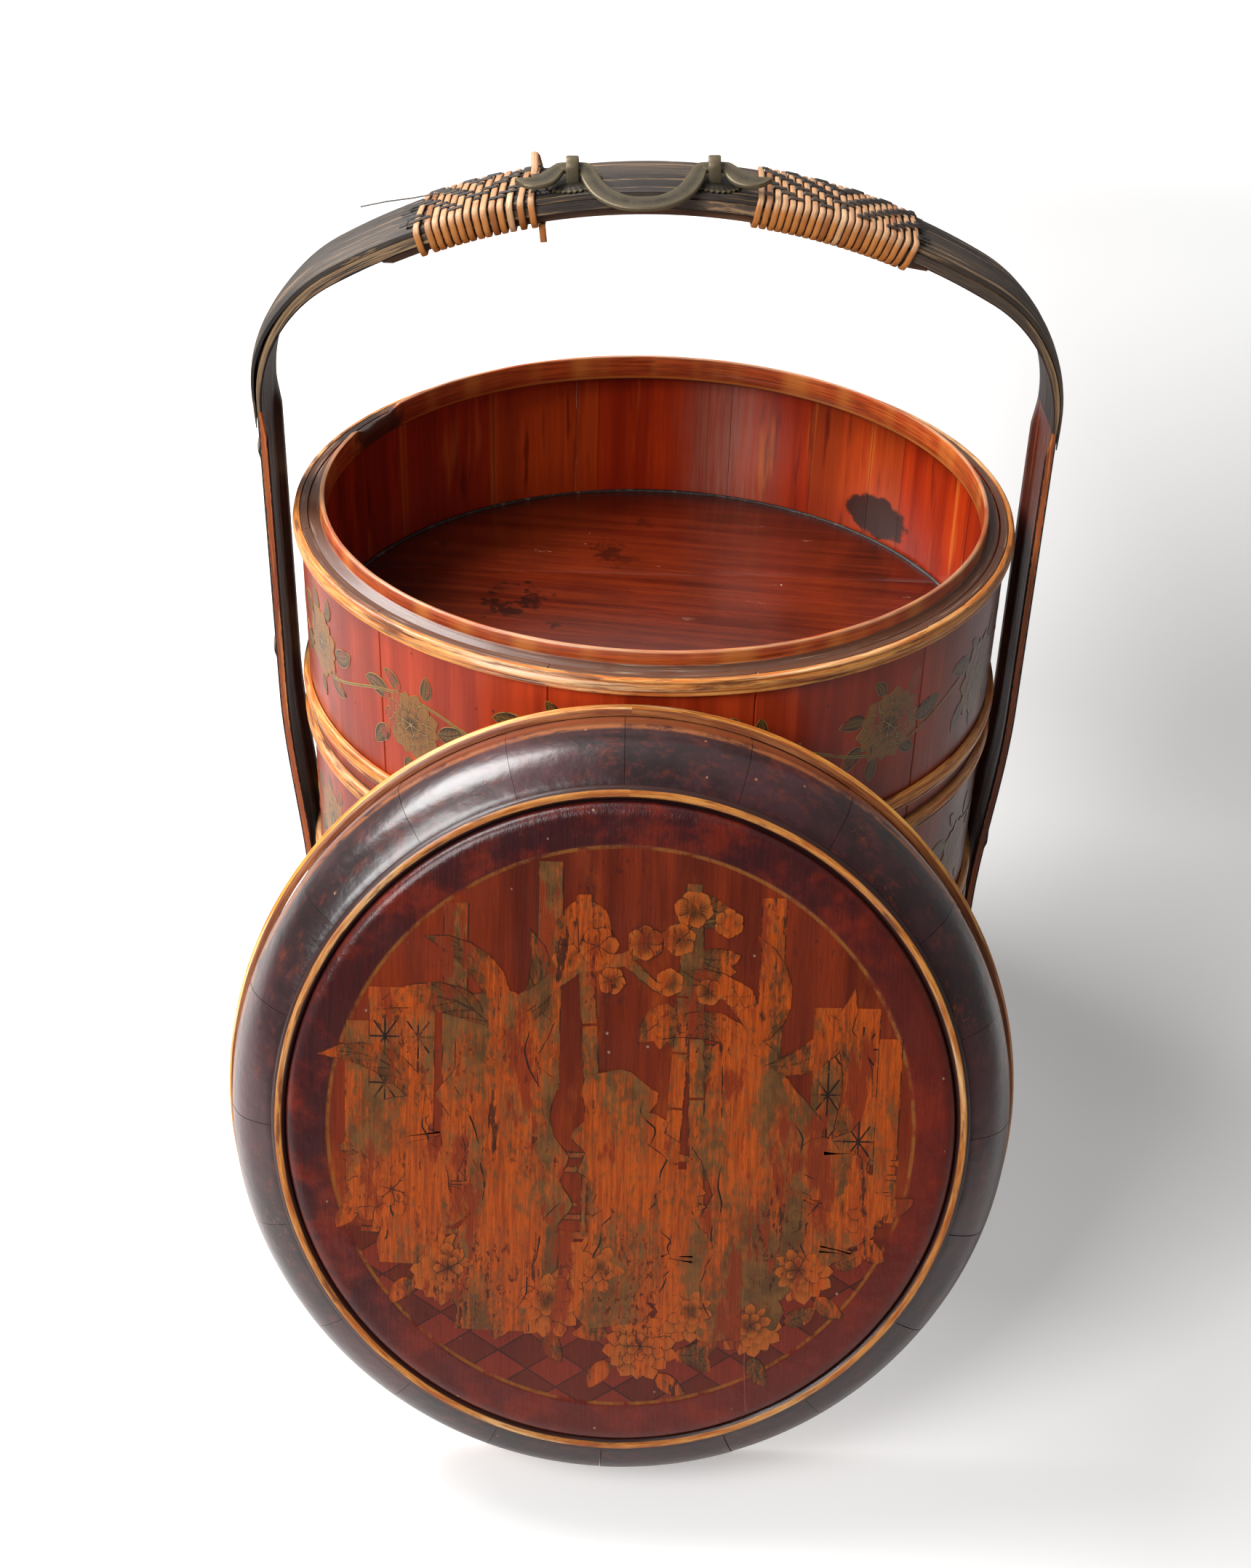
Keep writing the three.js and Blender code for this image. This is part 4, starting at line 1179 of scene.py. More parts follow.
class Brush:
    """Lays motifs that are modelled flat once on a curved ground."""

    INK = 0.6 * MM  # width of an outline
    BED = 0.3 * MM  # how far a motif reaches down into its ground
    SWELL = 0.03 * MM  # how much higher a stroke's middle is
    POINT = 0.12 * MM  # half width of a leaf's tip
    PETALS = (((23.0, 11.0, 0.22), (21.5, 10.0, 0.25)), ((16.0, 9.0, 0.29), (15.0, 8.0, 0.32)),
              ((9.5, 7.0, 0.36), (8.5, 6.0, 0.39)))  # length, width and lift in each ring of a rosette

    def __init__(self) -> None:
        """Models the blossoms and leaves that are copied."""
        rings = [[self.leaf(n, w, 0.0, up, Motif.PETAL, 1.7) for n, w, up in ring] for ring in self.PETALS]
        plum = [self.leaf(8.5, 8.0, 0.0, lift, Motif.PETAL, 1.5) for lift in (0.42, 0.45)]
        self.rosette = self._whorl("rosette", list(zip(rings, (14, 10, 6))))
        self.star = self._whorl("star", [(plum, 6)])
        self.blade = self.leaf(22.0, 12.0, 0.35, 0.17, Motif.LEAF, 0.8)
        self.frond = self.leaf(62.0, 15.0, 0.9, 0.3, Motif.LEAF, 0.9)
        self.models = [*sum(rings, plum), self.rosette, self.star, self.blade, self.frond]

    def stroke(self, spine: Sequence[Point], halves: Sequence[float], lift: float, kind: Motif) -> Piece:
        """Models one flat stroke.

        Args:
            spine: points along its middle.
            halves: half widths at those points.
            lift: its height above the ground.
            kind: what it is.

        Returns:
            The stroke, on the plane at height 0.
        """
        rows, grain = [], []
        for i, ((u, v), half) in enumerate(zip(spine, halves)):
            before, after = spine[max(i - 1, 0)], spine[min(i + 1, len(spine) - 1)]
            way = Vector((after[0] - before[0], after[1] - before[1])).normalized()
            top = ((-half, lift), (0.0, lift + self.SWELL), (half, lift))
            places = ((-half, -self.BED), *top, (half, -self.BED))
            rows.append([Vector((u - way.y * off, v + way.x * off, h)) for off, h in places])
            run = kind.value + 0.9 * i / (len(spine) - 1)
            grain.append([Vector((run, off / half, (half - abs(off)) / self.INK)) for off, _ in places])
        return Bench.loft("stroke", rows, grain, smooth=50.0)

    def leaf(self, length: float, width: float, bend: float, lift: float, kind: Motif, blunt: float) -> Piece:
        """Models a petal or leaf that starts at the origin.

        Args:
            length: from its foot to its tip, in millimetres.
            width: across its widest place, in millimetres.
            bend: turn from foot to tip.
            lift: its height above the ground, in millimetres.
            kind: petal or leaf.
            blunt: above 1, its widest place is nearer the tip.

        Returns:
            The leaf.
        """
        run = steps(0.0, 1.0, 7)
        spine = [(length * MM * t * cos(bend * t), length * MM * t * sin(bend * t)) for t in run]
        swell = [sin(pi * t ** blunt) ** 0.65 if 0 < t < 1 else 0.0 for t in run]
        return self.stroke(spine, [max(self.POINT, width * MM / 2 * f) for f in swell], lift * MM, kind)

    @staticmethod
    def _whorl(name: str, rings: Sequence[tuple[Sequence[Piece], int]]) -> Piece:
        """Sets petals round a point.

        Args:
            name: the blossom's name.
            rings: petals that take turns in a ring, and how many it has.

        Returns:
            The blossom.
        """
        petals = []
        for kinds, count in rings:
            for i in range(count):
                turn = Matrix.Rotation(TAU * i / count + 0.2 * count, 4, "Z")
                petals.append(Bench.copy(kinds[i % len(kinds)], turn))
        return Bench.join(name, petals)

    @staticmethod
    def lay(motif: Piece, ground: Ground, u: float = 0.0, v: float = 0.0, turn: float = 0.0,
            scale: float = 1.0) -> Piece:
        """Copies a flat motif on to a ground.

        Args:
            motif: the flat motif.
            ground: gives the point at a place across, a place up and a lift.
            u: place across.
            v: place up.
            turn: turn on the ground.
            scale: size against the model.

        Returns:
            The copy.
        """
        size = Matrix.Diagonal((scale, scale, 1.0, 1.0))
        twin = Bench.copy(motif, Matrix.Translation((u, v, 0.0)) @ Matrix.Rotation(turn, 4, "Z") @ size)
        Bench.shape(twin, lambda co: ground(co.x, co.y, co.z))
        return twin

    def clear(self) -> None:
        """Deletes the flat models."""
        for model in self.models:
            bpy.data.objects.remove(model)


@dataclass(frozen=True)
class TierSizes:
    """Sizes that all tiers share."""

    wall_radius: float = 188.5 * MM
    wall: float = 4.0 * MM
    ease: float = 0.5 * MM  # rounding of a stave's edges
    pitch: float = 112.5 * MM
    foot: float = 23.5 * MM  # how far the lowest staves run on below their seat
    floor_up: float = 27.0 * MM
    floor: float = 9.0 * MM
    caulk: float = 1.3 * MM
    collar_radius: float = 175.2 * MM
    neck: float = 2.7 * MM
    collar_up: float = 7.5 * MM
    collar_down: float = 7.0 * MM
    hoop: float = 4.0 * MM
    hoop_height: float = 9.0 * MM
    hoop_up: float = 10.0 * MM
    gap: float = 0.3 * MM

    @property
    def inner(self) -> float:
        """Radius of the wall's inner face."""
        return self.wall_radius - self.wall


def half_round(radius: float, thick: float, low: float, height: float, ridges: int = 17) -> list[Point]:
    """Outline of a half-round hoop with shallow ridges along it.

    Args:
        radius: inner radius of the hoop.
        thick: how far it stands out.
        low: height of its lower edge.
        height: its height.
        ridges: points on the round face.

    Returns:
        Corners of radius and height.
    """
    draw = random.Random(ridges)
    points = [(radius, low)]
    for i in range(ridges):
        a = pi * (i + 0.5) / ridges
        groove = 0.3 * cos(3 * a) ** 6
        r = radius + thick * ((0.22 + 0.78 * sin(a) ** 0.6) * (1 - groove) - draw.uniform(0.0, 0.03))
        points.append((r, low + height * (0.5 - 0.5 * cos(a))))
    return [*points, (radius, low + height)]


def wander(turn: float, seed: int, size: float) -> float:
    """A slow uneven wave round a ring, the same at both ends of a turn."""
    draw = random.Random(seed)
    return size * sum(sin(k * turn + draw.uniform(0, TAU)) / k ** 0.7 for k in (2, 3, 5, 9, 14)) / 2.4


class Tier:
    """One tier of the carrier: staves, floor, collar, hoops and a line of caulk."""

    BLOSSOMS = 14  # round the painted scroll
    CUTS = (-58 * MM, 71 * MM)  # joints between floor boards, from front to back

    def __init__(self, name: str, body: Body, level: int, staves: int, axis: Vector) -> None:
        """Takes a tier's place.

        Args:
            name: the tier's name, as its CAD nodes have it.
            body: the body that it rides on.
            level: its place in the stack, from 0.
            staves: staves in its wall.
            axis: a point on the tiers' axis.
        """
        self.name, self.body, self.count, self.axis, self.size = name, body, staves, axis, TierSizes()
        self.foot = 0.0 if level else self.size.foot
        self.seat = self.size.foot + level * self.size.pitch
        self.shoulder = self.seat + self.size.pitch
        self.draw = random.Random(name)

    def _at(self, radius: float, turn: float, height: float) -> Vector:
        """A point about the tiers' axis."""
        return polar(radius, turn, height, self.axis.y)

    def staves(self, wall: Material, inside: Material, ends: Material) -> None:
        """Builds the wall of separate staves.

        Args:
            wall: lacquer outside.
            inside: lacquer inside.
            ends: worn wood of the upper ends.
        """
        z, top = self.size, self.shoulder
        low = self.seat - self.foot + (0.0 if self.foot else z.gap)
        half = pi / self.count - 0.5 * z.gap / z.wall_radius
        flat = half - z.ease / z.wall_radius
        outline = [(z.inner, low), (z.wall_radius - z.ease, low), (z.wall_radius, low + z.ease),
                   (z.wall_radius, top - z.ease), (z.wall_radius - z.ease, top), (z.inner, top)]
        pieces = []
        for i in range(self.count):
            mid, proud = TAU * i / self.count, self.draw.uniform(-0.12, 0.12) * MM
            rows = []
            for a in [-half, *steps(-flat, flat, 14), half]:
                drop = z.ease if abs(a) >= half else 0.0
                radii = [r + proud - (drop if r > z.inner else 0.0) for r, _ in outline]
                rows.append([self._at(r, mid + a, h) for r, (_, h) in zip(radii, outline)])
            pieces.append(Bench.loft(f"{self.name}_stave", rows, smooth=30.0))
        obj = Bench.join(f"{self.name}_staves", pieces)
        for face in obj.data.polygons:
            out = Vector((face.center.x, face.center.y - self.axis.y, 0.0)).normalized()
            face.material_index = 2 if face.normal.z > 0.4 else int(face.normal.dot(out) < -0.5)
        nodes = [f"{self.name}_stave_{i + 1}" for i in range(self.count)]
        settle(obj, self.body, Slot.RED, [wall, inside, ends], nodes)

    def painting(self, brush: Brush, gilt: Material, rubbed: float) -> None:
        """Paints a scroll of blossoms and leaves round the wall.

        Args:
            brush: holds the blossoms and leaves.
            gilt: the paint.
            rubbed: half width of the place in front that a leaning lid has rubbed bare.
        """
        radius, draw = self.size.wall_radius, self.draw

        def ground(u: float, v: float, lift: float) -> Vector:
            """A point of the wall."""
            return self._at(radius + lift, u / radius - pi / 2, self.seat + v)

        middle, swing = 61.0 * MM, 11.0 * MM
        each = TAU * radius / self.BLOSSOMS
        end = 7 * each
        laid = []
        for low, high in ((-end, -rubbed), (rubbed, end)) if rubbed else ((-end, end),):
            along = steps(low, high, 20 * self.BLOSSOMS)
            spine = [(u, middle + swing * sin(pi * u / each)) for u in along]
            vine = brush.stroke(spine, [0.75 * MM] * len(spine), 0.2 * MM, Motif.FIELD)
            laid.append(brush.lay(vine, ground))
            bpy.data.objects.remove(vine)
        for k in range(self.BLOSSOMS):
            u, up = (k - 6.5) * each, -1.0 if k % 2 else 1.0
            v = middle + 4.0 * MM * up
            turn, size = draw.uniform(0, TAU), draw.uniform(0.82, 1.04)
            laid.append(brush.lay(brush.rosette, ground, u, v, turn, size))
            for i in range(7):
                a = TAU * i / 7 + draw.uniform(-0.25, 0.25)
                far = draw.uniform(17, 20) * MM
                size = draw.uniform(0.7, 0.95) * (0.75 if abs(sin(a)) > 0.75 else 1.0)
                if abs(u + (far + 22 * MM * size) * cos(a)) > rubbed:
                    laid.append(brush.lay(brush.blade, ground, u + far * cos(a), v + far * sin(a), a, size))
        settle(Bench.join(f"{self.name}_gilt_scroll", laid), self.body, Slot.RED, [gilt])

    def hoops(self, bamboo: Material) -> None:
        """Builds the upper and the lower hoop.

        Args:
            bamboo: their material.
        """
        z = self.size
        base = z.wall_radius + z.gap
        lows = {"top_hoop": self.shoulder - z.hoop_height, "low_hoop": self.seat - self.foot + z.hoop_up}
        for part, low in lows.items():
            outline = half_round(base, z.hoop - z.gap, low, z.hoop_height)
            obj = Bench.turn(f"{self.name}_{part}_bamboo", outline, 220, 50.0)
            seed = self.draw.randrange(1000)

            def worn(co: Vector) -> Vector:
                """Where wear leaves a corner of the hoop.

                Args:
                    co: a corner of the even ring, about the origin.

                Returns:
                    Its place in the frame.
                """
                turn, radius = atan2(co.y, co.x), hypot(co.x, co.y)
                share = clamp((radius - base) / z.hoop)
                radius += share * min(0.0, wander(turn, seed, 0.5 * MM))
                return self._at(radius, turn, co.z + 0.4 * share * wander(turn, seed + 1, 0.35 * MM))

            Bench.shape(obj, worn)
            settle(obj, self.body, Slot.HOOP, [bamboo], [f"{self.name}_{part}"])

    def collar(self, wood: Material, chip: Point | None = None) -> None:
        """Builds the collar with its raised neck.

        Args:
            wood: its material.
            chip: turn and half width of a broken place on the neck, or none.
        """
        z, step = self.size, self.shoulder
        inner, neck, out = z.collar_radius, z.collar_radius + z.neck, z.inner - z.gap
        top, low = step + z.collar_up, step - z.collar_down
        e = 0.7 * MM
        outline = [(inner + e, low), (out, low), (out, step - e), (out - e, step), (neck + 1.2 * e, step),
                   (neck, step + 1.2 * e), (neck, top - 1.6 * e), (neck - 0.5 * e, top - 0.5 * e),
                   (neck - 1.4 * e, top), (inner + 1.2 * e, top), (inner + 0.3 * e, top - 0.4 * e),
                   (inner, top - 1.4 * e), (inner, step), (inner, low + e)]
        obj = Bench.turn(f"{self.name}_collar_ring", outline, 260, 45.0)
        seed = self.draw.randrange(1000)

        def worn(co: Vector) -> Vector:
            """Where wear leaves a corner of the collar.

            Args:
                co: a corner of the even ring, about the origin.

            Returns:
                Its place in the frame.
            """
            turn, radius, height = atan2(co.y, co.x), hypot(co.x, co.y), co.z
            up = clamp((height - step) / z.collar_up)
            height += up * min(0.0, wander(3 * turn, seed, 0.35 * MM))
            radius += up * wander(turn, seed + 1, 0.25 * MM)
            if chip is not None:
                off = abs((turn - chip[0] + pi) % TAU - pi) / chip[1]
                bite = clamp(1.3 - off) * (1.0 + 0.35 * sin(37 * turn))
                height -= up * clamp(bite) * 4.6 * MM
                radius += up * clamp(bite) * 0.9 * MM * (1 if radius < neck - 1.3 * MM else -0.4)
            return self._at(radius, turn, height)

        Bench.shape(obj, worn)
        settle(obj, self.body, Slot.INNER, [wood], [f"{self.name}_collar"])

    def floor(self, boards: Material, caulk: Material) -> None:
        """Builds the floor of edge-joined boards, with caulk round it.

        Args:
            boards: material of the boards.
            caulk: material of the caulk.
        """
        z, y = self.size, self.axis.y
        radius, top, bead = z.inner - z.gap, self.seat + z.floor_up, z.caulk
        edges = [-radius, *self.CUTS, radius]
        pieces = []
        for near, far in zip(edges, edges[1:]):
            Bench.clear()
            middle = (0.0, y, top - 0.5 * z.floor)
            bpy.ops.mesh.primitive_cylinder_add(vertices=160, radius=radius, depth=z.floor, location=middle)
            obj = bpy.context.object
            bpy.ops.object.transform_apply(location=True)
            bpy.ops.object.mode_set(mode="EDIT")
            for cut, away in ((near, -1.0), (far, 1.0)):
                bpy.ops.mesh.select_all(action="SELECT")
                at = (0.0, y + cut - away * 0.02 * MM, 0.0)
                bpy.ops.mesh.bisect(plane_co=at, plane_no=(0.0, away, 0.0), use_fill=True, clear_outer=True)
            bpy.ops.object.mode_set(mode="OBJECT")
            Bench.modify(obj, "BEVEL", width=0.1 * MM, segments=2, limit_method="ANGLE",
                         angle_limit=radians(60))
            pieces.append(obj)
        obj = Bench.join(f"{self.name}_floor_boards", pieces)
        bpy.ops.object.shade_smooth_by_angle(angle=radians(30))
        settle(obj, self.body, Slot.INNER, [boards], [f"{self.name}_floor"])
        outline = [(radius - bead + bead * cos(a), top + 0.6 * bead * sin(a)) for a in steps(0, TAU, 10)[:-1]]
        ring = Bench.turn(f"{self.name}_caulk", outline, 260, 60.0)
        seed = self.draw.randrange(1000)

        def uneven(co: Vector) -> Vector:
            """Where a corner of the swelling and thinning caulk lies.

            Args:
                co: a corner of the even ring, about the origin.

            Returns:
                Its place in the frame.
            """
            turn = atan2(co.y, co.x)
            swell = max(0.35, 1.0 + wander(4 * turn, seed, 0.5))
            out = radius + 0.2 * MM + (hypot(co.x, co.y) - radius) * swell
            return self._at(out, turn, top + (co.z - top) * swell)

        Bench.shape(ring, uneven)
        settle(ring, self.body, Slot.INNER, [caulk])


class Garden:
    """The picture on the lid's panel, in millimetres from the panel's middle."""

    POSTS = ((-76, -44, 106), (-34, 20, 126), (66, -46, 112), (-120, -42, 50), (121, -40, 48))
    STALKS = ((22, -40, 118, 8), (36, -40, 104, -5), (-10, -40, 112, -9))
    ROCKS = ((-52, -98, 66, 30), (4, -94, 30, 24), (60, -98, 50, 29), (-96, -66, 14, 19), (98, -62, 0, 17),
             (30, -84, -18, 16))
    STARS = ((-26, 82), (-6, 72), (9, 90), (24, 92), (30, 106), (46, 100), (20, 72), (38, 68), (52, 66),
             (-12, 88))
    FRONDS = ((62, 38, 2.6), (60, 42, 1.9), (58, 44, 1.1), (64, 34, 0.3), (-56, 44, 2.5), (-56, 48, 1.8),
              (-54, 46, 0.9), (-90, 8, 2.2), (96, 0, 1.2))
    SPRIGS = ((-14, 108, 4.2), (-16, 100, 3.6), (26, 112, 5.2), (32, 84, 5.6), (30, 40, 5.4), (24, 60, 4.0))
    ROSETTES = ((-78, -68), (-32, -82), (-8, -66), (34, -86), (84, -64), (104, -34), (-104, -30), (12, -104),
                (62, -92))

    def __init__(self, brush: Brush) -> None:
        """Takes the brush."""
        self.brush, self.draw, self.strokes = brush, random.Random(7), []

    def line(self, points: Sequence[Point], halves: Sequence[float], lift: float, count: int = 10,
             kind: Motif = Motif.FIELD) -> None:
        """Models a stroke.

        Args:
            points: points along it.
            halves: half widths at those points.
            lift: its height above the ground.
            count: steps along it.
            kind: what it is.
        """
        spine, wide = [], []
        for t in steps(0.0, len(points) - 1.0, count):
            k = min(int(t), len(points) - 2)
            spine.append(tuple(MM * lerp(a, b, t - k) for a, b in zip(points[k], points[k + 1])))
            wide.append(MM * lerp(halves[k], halves[k + 1], t - k))
        self.strokes.append(self.brush.stroke(spine, wide, lift * MM, kind))

    def window(self, x: float, low: float, high: float, half: float) -> None:
        """Draws a lattice window of stars.

        Args:
            x: its middle.
            low: its lower edge.
            high: its upper edge.
            half: half its width.
        """
        self.line([(x, low), (x, high)], [half, half], 0.14, 3)
        for i in range(2 * int((high - low) / 22)):
            u, v = x + (0.5 if i % 2 else -0.5) * half, low + 11 + 22 * (i // 2)
            for a in steps(0.0, pi, 4)[:-1]:
                du, dv = 0.48 * half * cos(a), 10.5 * sin(a)
                self.line([(u - du, v - dv), (u + du, v + dv)], [0.4, 0.4], 0.18, 2, Motif.INK)

    def rock(self, x: float, low: float, high: float, wide: float) -> None:
        """Draws a tall weathered rock with a few strokes along its sides.

        Args:
            x: its middle.
            low: its foot.
            high: its top.
            wide: half its width.
        """
        count, draw = 18, self.draw
        points = [(x + 5 * sin(0.45 * i + x), lerp(low, high, i / count)) for i in range(count + 1)]
        halves = []
        for i in range(count):
            swell = 0.42 + 0.58 * sin(pi * (0.12 + 0.8 * i / count)) ** 0.7
            halves.append(wide * swell * draw.uniform(0.66, 1.12))
        self.line(points, [*halves, 2.5], 0.3, 72)
        for i in range(1, count - 3, 3):
            side = draw.choice((-1, 1))
            way = [(points[k][0] + side * draw.uniform(0.55, 0.8) * halves[k], points[k][1])
                   for k in range(i, i + 4)]
            self.line(way, [0.15, 0.42, 0.36, 0.15], 0.35, 8, Motif.INK)

    def stalk(self, x: float, low: float, high: float, lean: float) -> None:
        """Draws a bamboo stalk with its nodes.

        Args:
            x: its foot, across.
            low: its foot.
            high: its top.
            lean: how far its top leans over.
        """
        joints = int((high - low) / 26)
        for i in range(joints):
            ends = [lerp(low, high, (i + k) / joints) for k in (0.02, 0.98)]
            self.line([(x + lean * (h - low) / (high - low), h) for h in ends], [3.6, 3.6], 0.24, 4)

    def draw_lines(self) -> None:
        """Draws windows, posts, railing, stalks, rocks and branches."""
        self.window(-100, -12, 66, 15)
        self.window(101, -12, 62, 15)
        for x, low, high in self.POSTS:
            self.line([(x, low), (x, high)], [5.6, 5.6], 0.17, 3)
        for y in (-50, -41, -18, -11):
            reach = sqrt(128 ** 2 - y * y)
            self.line([(-reach, y), (reach, y)], [1.6, 1.6], 0.2, 3)
        for x in range(-112, 113, 16):
            self.line([(x, -50), (x, -11)], [1.3, 1.3], 0.22, 2)
            up = -35 + 9 * (x // 16 % 2)
            self.line([(x + 3, up), (x + 13, up)], [1.1, 1.1], 0.23, 2)
        for stalk in self.STALKS:
            self.stalk(*stalk)
        for rock in self.ROCKS:
            self.rock(*rock)
        self.line([(-46, 60), (-22, 78), (0, 82), (24, 98), (44, 102)], [4.4, 3.4, 3.0, 2.0, 0.8], 0.34, 20)
        self.line([(0, 82), (16, 68), (36, 70), (52, 62)], [2.6, 2.2, 1.6, 0.8], 0.34, 14)

    def lay(self, ground: Ground) -> list[Piece]:
        """Lays the lines and adds blossoms and leaves.

        Args:
            ground: gives the point at a place across, a place up and a lift.

        Returns:
            All that is laid.
        """
        brush, draw = self.brush, self.draw
        laid = [brush.lay(stroke, ground) for stroke in self.strokes]
        for u, v in self.STARS:
            turn, size = draw.uniform(0, TAU), draw.uniform(0.75, 1.1)
            laid.append(brush.lay(brush.star, ground, u * MM, v * MM, turn, size))
        for u, v, turn in self.FRONDS:
            laid.append(brush.lay(brush.frond, ground, u * MM, v * MM, turn - 0.45, draw.uniform(0.75, 1.0)))
        for u, v, turn in self.SPRIGS:
            for swing in (-0.4, 0.0, 0.4):
                size = draw.uniform(0.8, 1.2)
                laid.append(brush.lay(brush.blade, ground, u * MM, v * MM, turn + swing, size))
        for u, v in self.ROSETTES:
            turn, size = draw.uniform(0, TAU), draw.uniform(0.72, 0.95)
            laid.append(brush.lay(brush.rosette, ground, u * MM, v * MM, turn, size))
            for i in range(5):
                a = TAU * i / 5 + draw.uniform(-0.3, 0.3)
                at = (u * MM + 16 * MM * cos(a), v * MM + 16 * MM * sin(a))
                laid.append(brush.lay(brush.blade, ground, *at, a, 0.75))
        for stroke in self.strokes:
            bpy.data.objects.remove(stroke)
        return laid


@dataclass(frozen=True)
class LidSizes:
    """Sizes of the lid in its own axes: rim at height 0, panel upwards."""

    rim_in: float = 178.5 * MM
    band: float = 5.3 * MM
    band_height: float = 27.5 * MM
    fold: float = 1.3 * MM
    top_height: float = 53.0 * MM
    top_radius: float = 160.5 * MM
    shell: float = 7.0 * MM
    ledge: float = 14.5 * MM
    bulge: float = 4.2 * MM
    bead: float = 3.5 * MM
    panel_height: float = 6.6 * MM
    crown: float = 1.4 * MM
    hoop: float = 5.0 * MM
    hoop_height: float = 9.0 * MM
    gap: float = 0.3 * MM
    segments: int = 20

    @property
    def rim_out(self) -> float:
        """Outer radius of the band."""
        return self.rim_in + self.band

    @property
    def panel_radius(self) -> float:
        """Outer radius of the panel."""
        return self.top_radius - 2 * self.bead - self.gap


class Lid:
    """The lid: a ring of bent segments, rim hoop, bead and raised panel."""

    def __init__(self) -> None:
        """Finds the lid's place in the frame."""
        self.size = LidSizes()
        joint = next(j for j in frame["record"]["behaviour"]["joints"] if j["name"] == "lid_take_off")
        normal = Vector(joint["axis"]).normalized()
        low, high = (Vector(c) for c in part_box("lid_hoop"))
        self.origin = (low + high) / 2 - normal * self.size.hoop_height / 2
        self.tilt = Euler((atan2(-normal.y, normal.z), 0.0, 0.0))
        self.place = Matrix.Translation(self.origin) @ self.tilt.to_matrix().to_4x4()

    def _settle(self, obj: Piece, slot: Slot, material: Material, node: str) -> None:
        """Moves a piece from the lid's own axes to its place."""
        obj.data.transform(self.place)
        settle(obj, Body.LID, slot, [material], [node])

    def ring(self, lacquer: Material) -> None:
        """Builds the band and slope from bent segments with open joints.

        Args:
            lacquer: their material.
        """
        z = self.size
        fold, ledge = z.rim_out - z.fold, z.top_radius - z.ledge
        slope = atan2(z.top_height - z.band_height, fold - z.top_radius)
        outer = []
        for t in steps(0.0, 1.0, 10):
            out = z.bulge * sin(pi * t)
            outer.append((lerp(fold, z.top_radius, t) + out * sin(slope),
                          lerp(z.band_height, z.top_height, t) + out * cos(slope)))
        under = [(r - z.shell * sin(slope), h - z.shell * cos(slope)) for r, h in outer[-2:1:-1]]
        under = [(r, h) for r, h in under if ledge < r < z.rim_in]
        outline = [(z.rim_in, 0.0), (z.rim_out, 0.0), (z.rim_out, 0.45 * z.band_height),
                   (z.rim_out - 0.15 * MM, z.band_height - 2 * z.fold), *outer, (ledge, z.top_height),
                   (ledge, z.top_height - z.shell), *under, (z.rim_in, z.band_height - z.shell)]
        draw = random.Random(41)
        marks = [TAU * (i + draw.uniform(-0.14, 0.14)) / z.segments for i in range(z.segments)]
        pieces = []
        for i, first in enumerate(marks):
            last = marks[(i + 1) % z.segments] + (TAU if i + 1 == z.segments else 0.0)
            crack = draw.choice((0.10, 0.10, 0.16, 0.35)) * MM / z.rim_out
            lift = draw.uniform(-0.16, 0.10) * MM
            turns = steps(first + crack, last - crack, 12)
            rows = [[polar(r + lift, a, h) for r, h in outline] for a in turns]
            pieces.append(Bench.loft("lid_segment", rows, smooth=32.0))
        self._settle(Bench.join("lid_segments", pieces), Slot.DARK, lacquer, "lid_ring")

    def trim(self, rim: Material, bead: Material) -> None:
        """Builds the rim hoop and the bead round the panel.

        Args:
            rim: material of the hoop.
            bead: material of the bead.
        """
        z = self.size
        outline = half_round(z.rim_out + z.gap, z.hoop - z.gap, 0.0, z.hoop_height)
        hoop = Bench.turn("lid_rim_bamboo", outline, 240, 50.0)
        base, middle = z.top_height + z.gap, z.top_radius - z.bead
        outline = [(middle + z.bead * cos(a), base + z.bead * sin(a)) for a in steps(0.0, pi, 12)]
        round_bead = Bench.turn("lid_bead_bamboo", outline, 240, 40.0)

        def waver(co: Vector) -> Vector:
            """Where a corner of the uneven bead lies.

            Args:
                co: a corner of the even ring, about the origin.

            Returns:
                Its place in the frame.
            """
            turn, share = atan2(co.y, co.x), clamp((co.z - base) / z.bead)
            radius = hypot(co.x, co.y) + wander(turn, 77, 0.5 * MM) * share
            return polar(radius, turn, co.z + share * min(0.0, wander(2 * turn, 78, 0.5 * MM)))

        Bench.shape(round_bead, waver)
        self._settle(hoop, Slot.HOOP, rim, "lid_hoop")
        self._settle(round_bead, Slot.HOOP, bead, "lid_bead")

    def panel(self, lacquer: Material) -> None:
        """Builds the raised panel with its soft edge and slight crown.

        Args:
            lacquer: its material.
        """
        z = self.size
        base, radius, h = z.top_height + z.gap, z.panel_radius, z.panel_height
        outline = [(radius, base), (radius, base + 0.3 * h)]
        for a in steps(0.0, pi / 2, 8)[1:]:
            outline.append((radius - 0.9 * h * (1 - cos(a)), base + 0.3 * h + 0.7 * h * sin(a)))
        edge = outline[-1][0]
        for t in steps(0.0, 1.0, 12)[1:-1]:
            outline.append((edge * (1 - t), base + h + z.crown * (1 - (1 - t) ** 2)))
        rows = [[polar(r, a, y) for a in steps(0.0, TAU, 200)[:-1]] for r, y in outline]
        rows = [[Vector((p.x * 0.02, p.y * 0.02, base)) for p in rows[0]], *rows]
        self._settle(Bench.loft("lid_panel_board", rows), Slot.RED, lacquer, "lid_panel")

    def painting(self, brush: Brush, gilt: Material) -> None:
        """Paints a garden on the panel: rocks, posts, railing, fronds and blossoms.

        Args:
            brush: holds the blossoms and leaves.
            gilt: the paint.
        """
        z = self.size
        top = z.top_height + z.gap + z.panel_height

